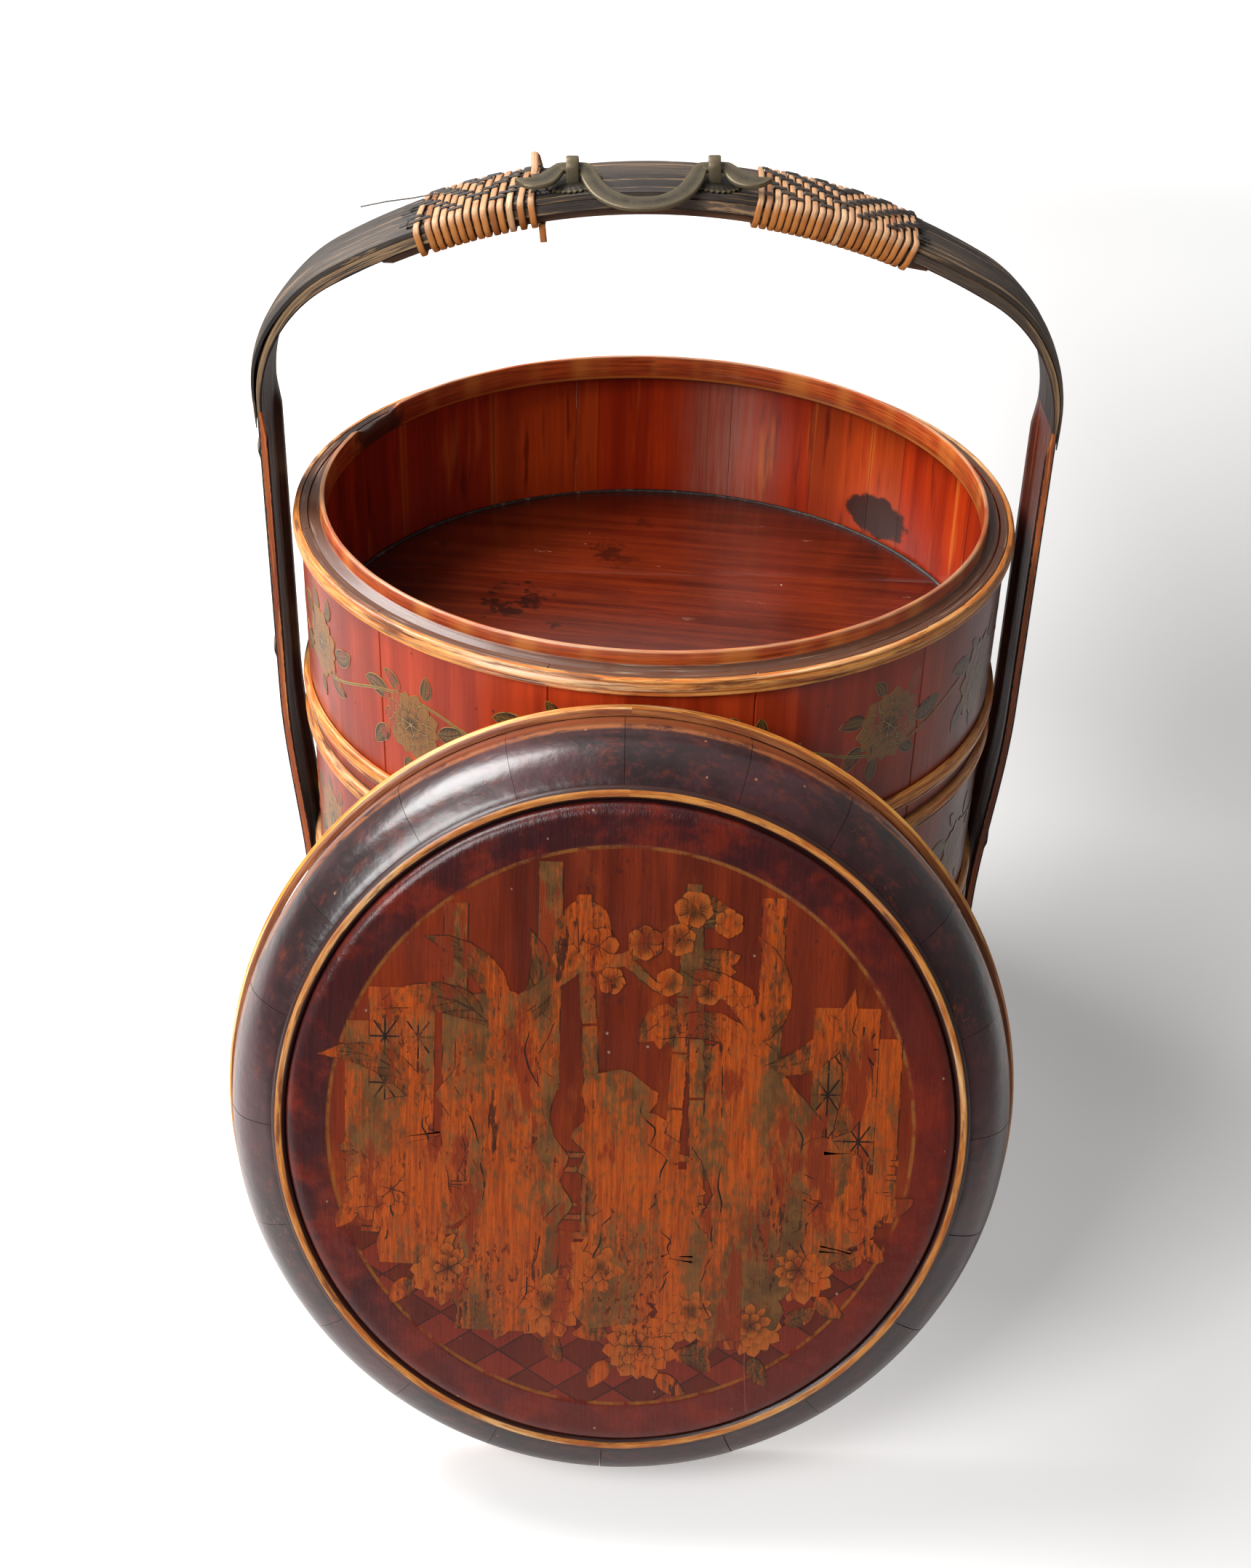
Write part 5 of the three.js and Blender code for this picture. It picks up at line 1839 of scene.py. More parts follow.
        def ground(u: float, v: float, lift: float) -> Vector:
            """A point of the crowned panel."""
            far = hypot(u, v) / z.panel_radius
            return self.place @ Vector((u, v, top + z.crown * (1 - far * far) + lift))

        garden = Garden(brush)
        garden.draw_lines()
        laid = garden.lay(ground)
        settle(Bench.join("lid_gilt_garden", laid), Body.LID, Slot.RED, [gilt])


@dataclass(frozen=True)
class ArchLine:
    """Outer line of the handle: flat top arc, round shoulders, legs that lean in towards their feet."""

    axis_y: float
    crown: float = 536.0 * MM
    radius: float = 340.0 * MM
    corner: float = 85.0 * MM
    leg_x: float = 209.5 * MM
    foot_x: float = 200.71 * MM
    foot_z: float = 8.0 * MM
    bend_z: float = 246.0 * MM
    lean: float = 140.0 * MM

    @property
    def arc_z(self) -> float:
        """Height of the top arc's middle."""
        return self.crown - self.radius

    @property
    def corner_x(self) -> float:
        """Place of a shoulder's middle, across."""
        return self.leg_x - self.corner

    @property
    def corner_z(self) -> float:
        """Height of a shoulder's middle."""
        return self.arc_z + sqrt((self.radius - self.corner) ** 2 - self.corner_x ** 2)

    @property
    def turn_in(self) -> float:
        """Angle from the crown to a shoulder."""
        return atan2(self.corner_x, self.corner_z - self.arc_z)

    @property
    def arc(self) -> float:
        """Length from the crown to a shoulder."""
        return self.radius * self.turn_in

    @property
    def leg(self) -> float:
        """Length from the crown to the start of a leg."""
        return self.arc + self.corner * (pi / 2 - self.turn_in)

    @property
    def end(self) -> float:
        """Length from the crown to a foot."""
        return self.leg + self.corner_z - self.foot_z

    def at(self, s: float, y: float, deep: float) -> Vector:
        """A point of the handle.

        Args:
            s: length along the arch from its crown, negative to the left.
            y: place across the bamboo.
            deep: depth below the outer line.

        Returns:
            The point in the frame.
        """
        side, run = (-1.0 if s < 0 else 1.0), abs(s)
        if run <= self.arc:
            a = run / self.radius
            x, z = (self.radius - deep) * sin(a), self.arc_z + (self.radius - deep) * cos(a)
        elif run <= self.leg:
            a = self.turn_in + (run - self.arc) / self.corner
            x = self.corner_x + (self.corner - deep) * sin(a)
            z = self.corner_z + (self.corner - deep) * cos(a)
        else:
            z = self.corner_z - (run - self.leg)
            t = clamp((self.bend_z - z) / self.lean)
            x = lerp(self.leg_x, self.foot_x, t * t * (3 - 2 * t)) - deep
        return Vector((side * x, self.axis_y + y, z))

    def over(self, x: float) -> float:
        """Length along the top arc for a place across."""
        return self.radius * asin(x / self.radius)


@dataclass(frozen=True)
class HandleSizes:
    """Sizes of the handle's bamboo."""

    width: float = 50.0 * MM
    arch: float = 7.0 * MM
    neck: float = 5.4 * MM
    flange: float = 7.5 * MM
    web: float = 4.6 * MM
    flange_width: float = 6.5 * MM
    notch: float = 12.0 * MM
    arch_swell: float = 200.0 * MM
    leg_swell: float = 105.0 * MM
    node_up: float = 1.1 * MM
    strip: float = 2.5 * MM
    strip_end: float = 1.0 * MM
    strip_width: float = 48.0 * MM
    strip_drop: float = 13.0 * MM
    strip_apart: float = 1.6 * MM
    lath: float = 4.0 * MM
    lath_width: float = 40.0 * MM
    lath_left: float = 143.0 * MM
    lath_right: float = 135.0 * MM
    gap: float = 0.3 * MM

    @property
    def lath_top(self) -> float:
        """Depth of the lath's upper face."""
        return self.strip + self.gap + self.arch + self.gap


class Handle:
    """The bent bamboo: culm, outer strip, grip lath."""

    NODES_LEFT = (26.0 * MM, 145.0 * MM)  # nodes of the bamboo below the left shoulder
    NODES_RIGHT = (260.0 * MM,)

    def __init__(self, line: ArchLine) -> None:
        """Takes the arch's line."""
        self.line, self.size = line, HandleSizes()

    def strip_t(self, s: float) -> float:
        """Thickness of the outer strip, feathered towards its ends."""
        line, z = self.line, self.size
        return lerp(z.strip, z.strip_end, clamp((abs(s) - line.arc) / (line.leg + z.strip_drop - line.arc)))

    def swell(self, s: float) -> float:
        """Radius across the bamboo."""
        line, z = self.line, self.size
        return lerp(z.arch_swell, z.leg_swell, clamp((abs(s) - line.arc) / (line.leg - line.arc)))

    @staticmethod
    def _ridges(seed: int, count: int) -> list[float]:
        """Heights of the fibre ridges across a strip."""
        draw = random.Random(seed)
        return [draw.uniform(-0.16, 0.12) * MM for _ in range(count)]

    def _sweep(self, name: str, sections: dict[float, list[Point]], shift: float, smooth: float) -> Piece:
        """Lofts a piece along the arch.

        Args:
            name: its name.
            sections: places across and depths, by length along the arch.
            shift: sets its grain apart from that of other pieces.
            smooth: edges sharper than this many degrees stay sharp.

        Returns:
            The piece.
        """
        rows = [[self.line.at(s, y, d) for y, d in pairs] for s, pairs in sections.items()]
        grain = [[Vector((s, y + shift, d)) for y, d in pairs] for s, pairs in sections.items()]
        return Bench.loft(name, rows, grain, smooth=smooth)

    def culm(self, outside: Material, raw: Material, channel: Material, channel_right: Material) -> None:
        """Builds the split culm from foot to foot.

        Args:
            outside: material of the skin.
            raw: material of the front edges of the legs.
            channel: material inside the left leg and under the arch, a near-black copy of the bamboo that
                paints shade there.
            channel_right: material inside the right leg, brown, without the painted shade.
        """
        line, z = self.line, self.size
        notch = line.leg + z.notch
        half, edge, e = z.width / 2, z.width / 2 - z.flange_width, 0.8 * MM
        across = 20
        ridges = self._ridges(5, across + 1)
        sections = {}
        for s in [*steps(-line.end, -line.leg, 110), *steps(-line.leg, line.leg, 130)[1:],
                  *steps(line.leg, line.end, 110)[1:]]:
            run = abs(s)
            nodes = self.NODES_LEFT if s < 0 else self.NODES_RIGHT
            ridge = sum(z.node_up * exp(-((run - line.leg - d) / (2.6 * MM)) ** 2) for d in nodes)
            top = self.strip_t(s) + z.gap
            leg = clamp((run - notch + 7 * MM) / (14 * MM))
            thin = lerp(z.arch, z.neck, clamp((run - line.arc) / (line.leg - line.arc)))
            flange, web = top + lerp(thin, z.flange, leg), top + lerp(thin, z.web, leg)
            hidden = clamp((line.leg + z.strip_drop - run) / (6 * MM))
            waver = 0.25 * MM * sin(run / (31 * MM))
            skin = []
            for i, y in enumerate(steps(-half, half, across)):
                lift = (ridges[i] if abs(y) < half else 0.0) * (1 - hidden)
                skin.append((y, top - ridge + y * y / (2 * self.swell(s)) - min(lift, 0.06 * MM)))
            sections[s] = [*skin, (half, flange - e), (half - e, flange),
                           (edge + 0.6 * MM, flange + 0.2 * waver), (edge - 3.5 * MM, web), 
                           (0.33 * edge, web + waver), (-0.33 * edge, web - waver), (3.5 * MM - edge, web),
                           (-edge - 0.6 * MM, flange), (e - half, flange),
                           (-half, flange - e)]
        obj = self._sweep("handle_bamboo", sections, 0.0, 38.0)
        for face in obj.data.polygons:
            c, side = face.center, copysign(1, face.center.x)
            on_leg = c.z < line.corner_z - 4 * MM
            skin_x = line.at(copysign(line.leg + max(line.corner_z - c.z, 0.0), c.x), 0, 0).x
            depth = (skin_x - c.x) * side
            inward = face.normal.dot(Vector((c.x, 0, c.z - line.arc_z))) < -0.02
            if on_leg and face.normal.y < -0.6 and c.y < line.axis_y - half + 1.5 * MM:
                face.material_index = 1
            elif on_leg and depth > 3.6 * MM and face.normal.x * c.x < 0:
                face.material_index = 3 if c.x > 0 else 2
            else:
                face.material_index = 2 if not on_leg and depth > 0 and inward else 0
        settle(obj, Body.CARRIER, Slot.BLACK, [outside, raw, channel, channel_right], ["handle_culm"])

    def strip(self, outside: Material) -> None:
        """Builds the outer strip with its ridged skin and feathered ends.

        Args:
            outside: its material.
        """
        line, z = self.line, self.size
        half, end = z.strip_width / 2, line.leg + z.strip_drop
        loose = -lerp(line.arc, line.leg, 0.72)
        across = 26
        ridges = self._ridges(9, across + 1)
        sections = {}
        for s in steps(-end, end, 170):
            thick, swell = self.strip_t(s), 2 * self.swell(s)
            fray = clamp((end - abs(s)) / (9 * MM))
            apart = z.strip_apart * exp(-((s - loose) / (24 * MM)) ** 2)
            upper, frayed = enumerate(steps(-half, half, across)), (1 - fray) * 0.3 * thick
            pairs = [(y, y * y / swell - ridges[i] * 0.6 + frayed - apart) for i, y in upper]
            sections[s] = pairs + [(y, y * y / swell + thick - apart) for y in steps(half, -half, 8)]
        obj = self._sweep("handle_outer_strip", sections, 0.2, 45.0)
        settle(obj, Body.CARRIER, Slot.BLACK, [outside], ["handle_strip"])

    def lath(self, wood: Material) -> None:
        """Builds the lath under the grip, with a slanted cut at each end.

        Args:
            wood: its material.
        """
        line, z = self.line, self.size
        top, half, e = z.lath_top, z.lath_width / 2, 0.6 * MM
        first, last = -line.over(z.lath_left), line.over(z.lath_right)
        sections = {}
        for s in steps(first, last, 60):
            taper = clamp((s - first) / (5 * MM)) * clamp((last - s) / (9 * MM))
            low = top + z.lath * lerp(0.45, 1.0, taper)
            sections[s] = [(-half + e, top), (0.0, top), (half - e, top), (half, top + e), (half, low - e),
                           (half - e, low), (0.0, low), (e - half, low), (-half, low - e), (-half, top + e)]
        obj = self._sweep("grip_lath_wood", sections, 0.4, 35.0)
        settle(obj, Body.CARRIER, Slot.HOOP, [wood], ["grip_lath"])


@dataclass(frozen=True)
class Winding:
    """One cane wound round the grip, with dark strands woven over its top."""

    name: str
    turns: int
    first: float
    last: float
    width: float
    stub: float
    strands: int
    loose: float
    strand: float
    apart: tuple[tuple[int, float], ...]  # turns that lie wider than the rest, and by how much
    bare: int = 0  # turns at the start that no strand reaches
    cane: float = 1.4 * MM

    def _starts(self, s0: float, s1: float) -> list[float]:
        """Where each turn starts along the grip, and where the last one ends.

        Args:
            s0: where the first turn starts.
            s1: where the last one ends.

        Returns:
            Lengths along the arch.
        """
        share = [1.0] * self.turns
        for turn, wide in self.apart:
            share[turn] = wide
        return [lerp(s0, s1, sum(share[:k]) / sum(share)) for k in range(self.turns + 1)]

    def _loop(self, z: HandleSizes) -> list[Point]:
        """One turn round the bundle.

        Args:
            z: the handle's sizes.

        Returns:
            Places across and depths, from the lath's far edge.
        """
        lath, edge = z.lath_top, (z.width / 2) ** 2 / (2 * z.arch_swell)
        off = z.gap + 0.1 * MM + self.cane / 2
        w, lw, under = z.width / 2 + off, z.lath_width / 2 + 1.2 * MM, lath + z.lath
        side = [(-lw - 1.6 * MM, under + 0.5 * off), (-w, under - z.lath + 0.4 * MM),
                (-w, 0.5 * (under - z.lath) + edge), (-w, edge + 1.2 * MM), (-w + 0.6 * MM, edge + 0.1 * MM)]
        top = [(y, y * y / (2 * z.arch_swell) - off) for y in steps(1.6 * MM - w, w - 1.6 * MM, 10)]
        below = [(f * lw, under + off) for f in (1.0, 0.5, 0.0, -0.5, -1.0)]
        return [*below, *side, *top, *((-y, d) for y, d in reversed(side))]

    def cane_piece(self, line: ArchLine, material: Material) -> None:
        """Builds the cane as one unbroken strip from end to end.

        Args:
            line: the arch's line.
            material: the cane's material.
        """
        loop = self._loop(HandleSizes())
        n, draw = len(loop), random.Random(self.name)
        s0, s1 = line.over(self.first) + self.width / 2, line.over(self.last) - self.width / 2
        starts = [*self._starts(s0, s1), s1 + 2 * MM]
        shifts = [0.0] + [draw.uniform(-1, 1) * self.loose for _ in range(self.turns)] + [0.0, 0.0]
        path, sides, flat = [], [], []
        for i in range(self.turns * n + (5 if self.stub else 1)):
            (y, deep), t = loop[i % n], i / n
            k = int(t)
            s = lerp(starts[k] + shifts[k], starts[k + 1] + shifts[k + 1], t - k)
            path.append(line.at(s, y, deep))
            sides.append((line.at(s + 0.5 * MM, y, deep) - line.at(s - 0.5 * MM, y, deep)).normalized())
            flat.append((i * 4.0 * MM, deep))
        if self.stub:
            foot = path[-1].copy()
            for f in (0.3, 0.65, 1.0):
                path.append(foot + Vector((0.8 * MM * f, -0.4 * MM, -self.stub * f)))
                sides.append(sides[-1])
                flat.append((flat[-1][0] + 4 * MM, flat[-1][1]))
        ring = []
        for a in steps(0.0, TAU, 10)[:-1]:
            c, h = cos(a), sin(a)
            ring.append((c, copysign(abs(c) ** 0.7, c), copysign(abs(h) ** 0.7, h)))
        rows, grain = [], []
        for i, p in enumerate(path):
            way = (path[min(i + 1, len(path) - 1)] - path[max(i - 1, 0)]).normalized()
            side = (sides[i] - way * sides[i].dot(way)).normalized()
            out = side.cross(way)
            rows.append([p + side * (0.5 * self.width * x) + out * (0.5 * self.cane * y) for _, x, y in ring])
            grain.append([Vector((flat[i][0], c * self.width, flat[i][1])) for c, _, _ in ring])
        obj = Bench.loft(f"{self.name}_split", rows, grain, smooth=60.0)
        settle(obj, Body.CARRIER, Slot.CANE, [material], [self.name])

    def _over(self, turn: int, strand: int) -> float:
        """1 where a strand lies over a turn, in a twill whose slant flips halfway, and 0 under it."""
        way = turn if turn < self.turns / 2 else self.turns - turn
        return float(0 <= turn < self.turns and (way + strand) % 4 < 2)

    def weave(self, line: ArchLine, material: Material) -> None:
        """Builds the dark strands that run lengthwise over and under the turns.

        Args:
            line: the arch's line.
            material: the strands' material.
        """
        z, draw = HandleSizes(), random.Random(self.name + "weave")
        s0, s1 = line.over(self.first), line.over(self.last)
        starts = self._starts(s0, s1)
        high = z.gap + 0.1 * MM + self.cane + 0.35 * MM
        pieces = []
        for k in range(self.strands):
            y0 = lerp(-0.36, 0.42, k / (self.strands - 1)) * z.width + draw.uniform(-1, 1) * self.loose
            ends = (starts[self.bare] - draw.uniform(1, 7) * MM, s1 + draw.uniform(1, 7) * MM)
            rows, grain = [], []
            for s in steps(*ends, self.turns * 8):
                k0 = sum(1 for at in starts[1:-1] if at <= s)
                turn = k0 + (s - starts[k0]) / (starts[k0 + 1] - starts[k0]) - 0.5
                first, part = floor(turn), clamp((turn % 1.0 - 0.28) / 0.44)
                over = lerp(self._over(first, k), self._over(first + 1, k), part * part * (3 - 2 * part))
                y = y0 + self.loose * sin(s / (17 * MM) + k)
                roof, lift = y * y / (2 * z.arch_swell), lerp(0.22 * MM, high, over)
                w, h = self.strand / 2, 0.16 * MM + 0.14 * MM * over
                ring = [(y - w, lift), (y - 0.5 * w, lift + h), (y + 0.5 * w, lift + h), (y + w, lift),
                        (y + 0.5 * w, lift - h), (y - 0.5 * w, lift - h)]
                rows.append([line.at(s, a, roof - b) for a, b in ring])
                grain.append([Vector((s, a, b)) for a, b in ring])
            pieces.append(Bench.loft("strand", rows, grain, smooth=60.0))
        settle(Bench.join(f"{self.name}_weave", pieces), Body.CARRIER, Slot.CANE, [material])


class LooseEnds:
    """Broken ends of the left winding, in millimetres along, across and above the grip."""

    LOOP = ((-64.5, 6, 1.6), (-64.3, 15, 2.2), (-64.0, 20, 5.2), (-63.7, 23.0, 7.4), (-63.3, 25, 5.0),
            (-63.0, 26.0, 0.0), (-63.0, 26.2, -4.0))
    STRAND = ((-101, 9, 2.3), (-112, 10, 2.6), (-124, 11, 4.2), (-136, 12, 7.0), (-148, 13, 9.5))

    def __init__(self, line: ArchLine) -> None:
        """Takes the arch's line."""
        self.line = line

    def _strip(self, name: str, points: Sequence[tuple[float, float, float]], wide: float, thick: float,
               material: Material) -> None:
        """Lofts a flat strip.

        Args:
            name: its name.
            points: places along, across and above the grip.
            wide: its width.
            thick: its thickness.
            material: its material.
        """
        path = [self.line.at(self.line.over(x * MM), y * MM, -up * MM) for x, y, up in points]
        ring = [(cos(a), sin(a)) for a in steps(0.0, TAU, 8)[:-1]]
        rows, grain = [], []
        for i, p in enumerate(path):
            way = (path[min(i + 1, len(path) - 1)] - path[max(i - 1, 0)]).normalized()
            flat = Vector((1, 0, 0)) if abs(way.x) < 0.5 else Vector((0, 1, 0))
            side = (flat - way * flat.dot(way)).normalized()
            out = side.cross(way)
            rows.append([p + side * (0.5 * wide * c) + out * (0.5 * thick * s) for c, s in ring])
            grain.append([Vector((i * 6 * MM, c * wide, s * thick)) for c, s in ring])
        settle(Bench.loft(name, rows, grain, smooth=60.0), Body.CARRIER, Slot.CANE, [material])

    def build(self, cane: Material, strand: Material) -> None:
        """Builds a loop that stands up and a strand that sticks out."""
        self._strip("cane_left_loop", self.LOOP, 3.6 * MM, 1.3 * MM, cane)
        self._strip("cane_left_stray", self.STRAND, 1.5 * MM, 0.6 * MM, strand)


@dataclass(frozen=True)
class FittingSizes:
    """Sizes of the bail, its eyes and their plates."""

    middle_x: float = -10.5 * MM
    eye_x: float = 34.5 * MM
    eye_y: float = -8.0 * MM
    eye_up: float = 5.2 * MM
    bore: float = 4.2 * MM
    eye: float = 1.6 * MM
    eye_width: float = 6.0 * MM
    tang: float = 9.0 * MM
    plate: float = 14.0 * MM
    plate_edge: float = 0.7 * MM
    plate_dome: float = 0.8 * MM
    lobes: int = 30
    bail: float = 2.5 * MM
    bail_depth: float = 29.0 * MM
    bail_width: float = 10.0 * MM
    bail_room: float = 1.6 * MM  # straight length beside an eye
    tail: float = 27.5 * MM


class Fittings:
    """Bail, eyes and scalloped plates on the arch."""

    SECTION = ((-1.0, -0.6), (-0.9, -1.0), (0.0, -1.0), (0.9, -1.0), (1.0, -0.6), (1.0, 0.5), (0.86, 0.92),
               (0.0, 1.0), (-0.86, 0.92), (-1.0, 0.5))  # the bail's, in half widths and half thicknesses

    def __init__(self, line: ArchLine, metal: Material) -> None:
        """Finds the fittings' place on the arch.

        Args:
            line: the arch's line.
            metal: material of all fittings.
        """
        self.line, self.metal, self.size = line, metal, FittingSizes()
        a = asin(self.size.middle_x / line.radius)
        here = Vector((line.radius * sin(a), line.axis_y, line.arc_z + line.radius * cos(a)))
        self.place = Matrix.Translation(here) @ Matrix.Rotation(a, 4, "Y")
        strip = HandleSizes()
        self.drop = self.size.eye_x ** 2 / (2 * line.radius)
        fall = self.size.eye_up + (strip.strip_width / 2) ** 2 / (2 * strip.arch_swell)
        reach = strip.strip_width / 2 + self.size.eye_y
        self.lie = atan2(fall, reach) - asin((self.size.bail / 2 + strip.gap) / hypot(fall, reach))

    def _settle(self, obj: Piece, place: Matrix, node: str, body: Body = Body.CARRIER) -> None:
        """Moves a fitting to its place on the arch."""
        obj.data.transform(self.place @ place)
        settle(obj, body, Slot.METAL, [self.metal], [node])

    def bail(self) -> None:
        """Builds the bail: a flat bar with a wide loop and crescent tails."""
        z = self.size
        x, d, w = z.eye_x, z.bail_depth, z.bail_width
        straight, neck = z.eye_width / 2 + z.bail_room, z.bore - 0.84 * MM
        loop = [(x - straight, 0.0, neck), (x - straight - 2.4 * MM, 0.06 * d, neck + 0.3 * MM),
                (0.72 * x, 0.36 * d, 0.43 * w), (0.56 * x, 0.7 * d, 0.48 * w), (0.3 * x, 0.94 * d, 0.5 * w),
                (0.0, d, 0.5 * w)]
        tail = [(x + straight, 0.0, neck), (x + straight + 2.4 * MM, 0.05 * d, neck + 0.3 * MM),
                (x + 0.46 * z.tail, 0.33 * d, 0.5 * w), (x + 0.74 * z.tail, 0.42 * d, 0.38 * w),
                (x + z.tail, 0.34 * d, 0.06 * w)]
        half = tail[::-1] + loop
        line = half + [(-x, d, w) for x, d, w in half[-2::-1]]
        dense = []
        for i in range(len(line) - 1):
            near = [line[min(max(i + k, 0), len(line) - 1)] for k in (-1, 0, 1, 2)]
            for t in steps(0.0, 1.0, 6)[:-1]:
                dense.append(tuple(self._smooth(*four, t) for four in zip(*near)))
        dense.append(line[-1])
        rows = []
        for i, (x, d, w) in enumerate(dense):
            before, after = dense[max(i - 1, 0)], dense[min(i + 1, len(dense) - 1)]
            way = Vector((after[0] - before[0], before[1] - after[1], 0.0)).normalized()
            side, at = Vector((-way.y, way.x, 0.0)), Vector((x, -d, 0.0))
            rows.append([at + side * (w * a) + Vector((0, 0, z.bail / 2 * b)) for a, b in self.SECTION])
        obj = Bench.loft("bail_forged", rows, smooth=28.0)
        tilt = Matrix.Translation((0.0, z.eye_y, z.eye_up)) @ Matrix.Rotation(self.lie, 4, "X")
        self._settle(obj, tilt, "bail", Body.BAIL)

    @staticmethod
    def _smooth(a: float, b: float, c: float, d: float, t: float) -> float:
        """A point on the smooth curve from b to c."""
        curve = (2 * a - 5 * b + 4 * c - d) * t * t + (3 * b - a - 3 * c + d) * t ** 3
        return 0.5 * (2 * b + (c - a) * t + curve)

    def eyes(self) -> None:
        """Builds the two staple eyes with a rib along their strip."""
        z = self.size
        low, outer = -self.drop - z.tang, z.bore + z.eye
        rib = z.bore + 0.8 * z.eye
        section = ((z.bore, -0.5), (z.bore, 0.5), (rib, 0.5), (outer, 0.36), (outer, -0.36), (rib, -0.5))
        way = [(-1.0, 0.0, h) for h in steps(low, z.eye_up, 4)]
        way += [(cos(a), sin(a), z.eye_up) for a in steps(pi, 0.0, 14)]
        way += [(1.0, 0.0, h) for h in steps(z.eye_up, low, 4)]
        for side, name in ((-1, "eye_left"), (1, "eye_right")):
            mid = side * z.eye_x
            rows = [[Vector((mid + x * z.eye_width, z.eye_y + r * c, h + r * s)) for r, x in section]
                    for c, s, h in way]
            self._settle(Bench.loft(f"{name}_forged", rows, smooth=40.0), Matrix(), name)

    def plates(self) -> None:
        """Builds the scalloped plates under the eyes, bent to the arch."""
        z, swell = self.size, HandleSizes().arch_swell
        rings = [(1.0, 0.0), (1.0, z.plate_edge)]
        domes = ((0.9, 0.12), (0.8, 0.7), (0.6, 1.0), (0.3, 1.0), (0.02, 1.0))
        rings += [(scale, z.plate_edge + share * z.plate_dome) for scale, share in domes]
        for side, name in ((-1, "plate_left"), (1, "plate_right")):
            rows = []
            for scale, lift in rings:
                ring = []
                for a in steps(0.0, TAU, z.lobes * 6)[:-1]:
                    r = z.plate * scale * (1 + 0.045 * cos(z.lobes * a) * clamp(4 * scale - 3))
                    y = r * sin(a)
                    ring.append(Vector((r * cos(a), y, 0.3 * MM + lift - (y + z.eye_y) ** 2 / (2 * swell))))
                rows.append(ring)
            bend = Matrix.Rotation(asin(side * z.eye_x / self.line.radius), 4, "Y")
            place = Matrix.Translation((side * z.eye_x, z.eye_y, -self.drop)) @ bend
            self._settle(Bench.loft(f"{name}_forged", rows, smooth=50.0), place, name)


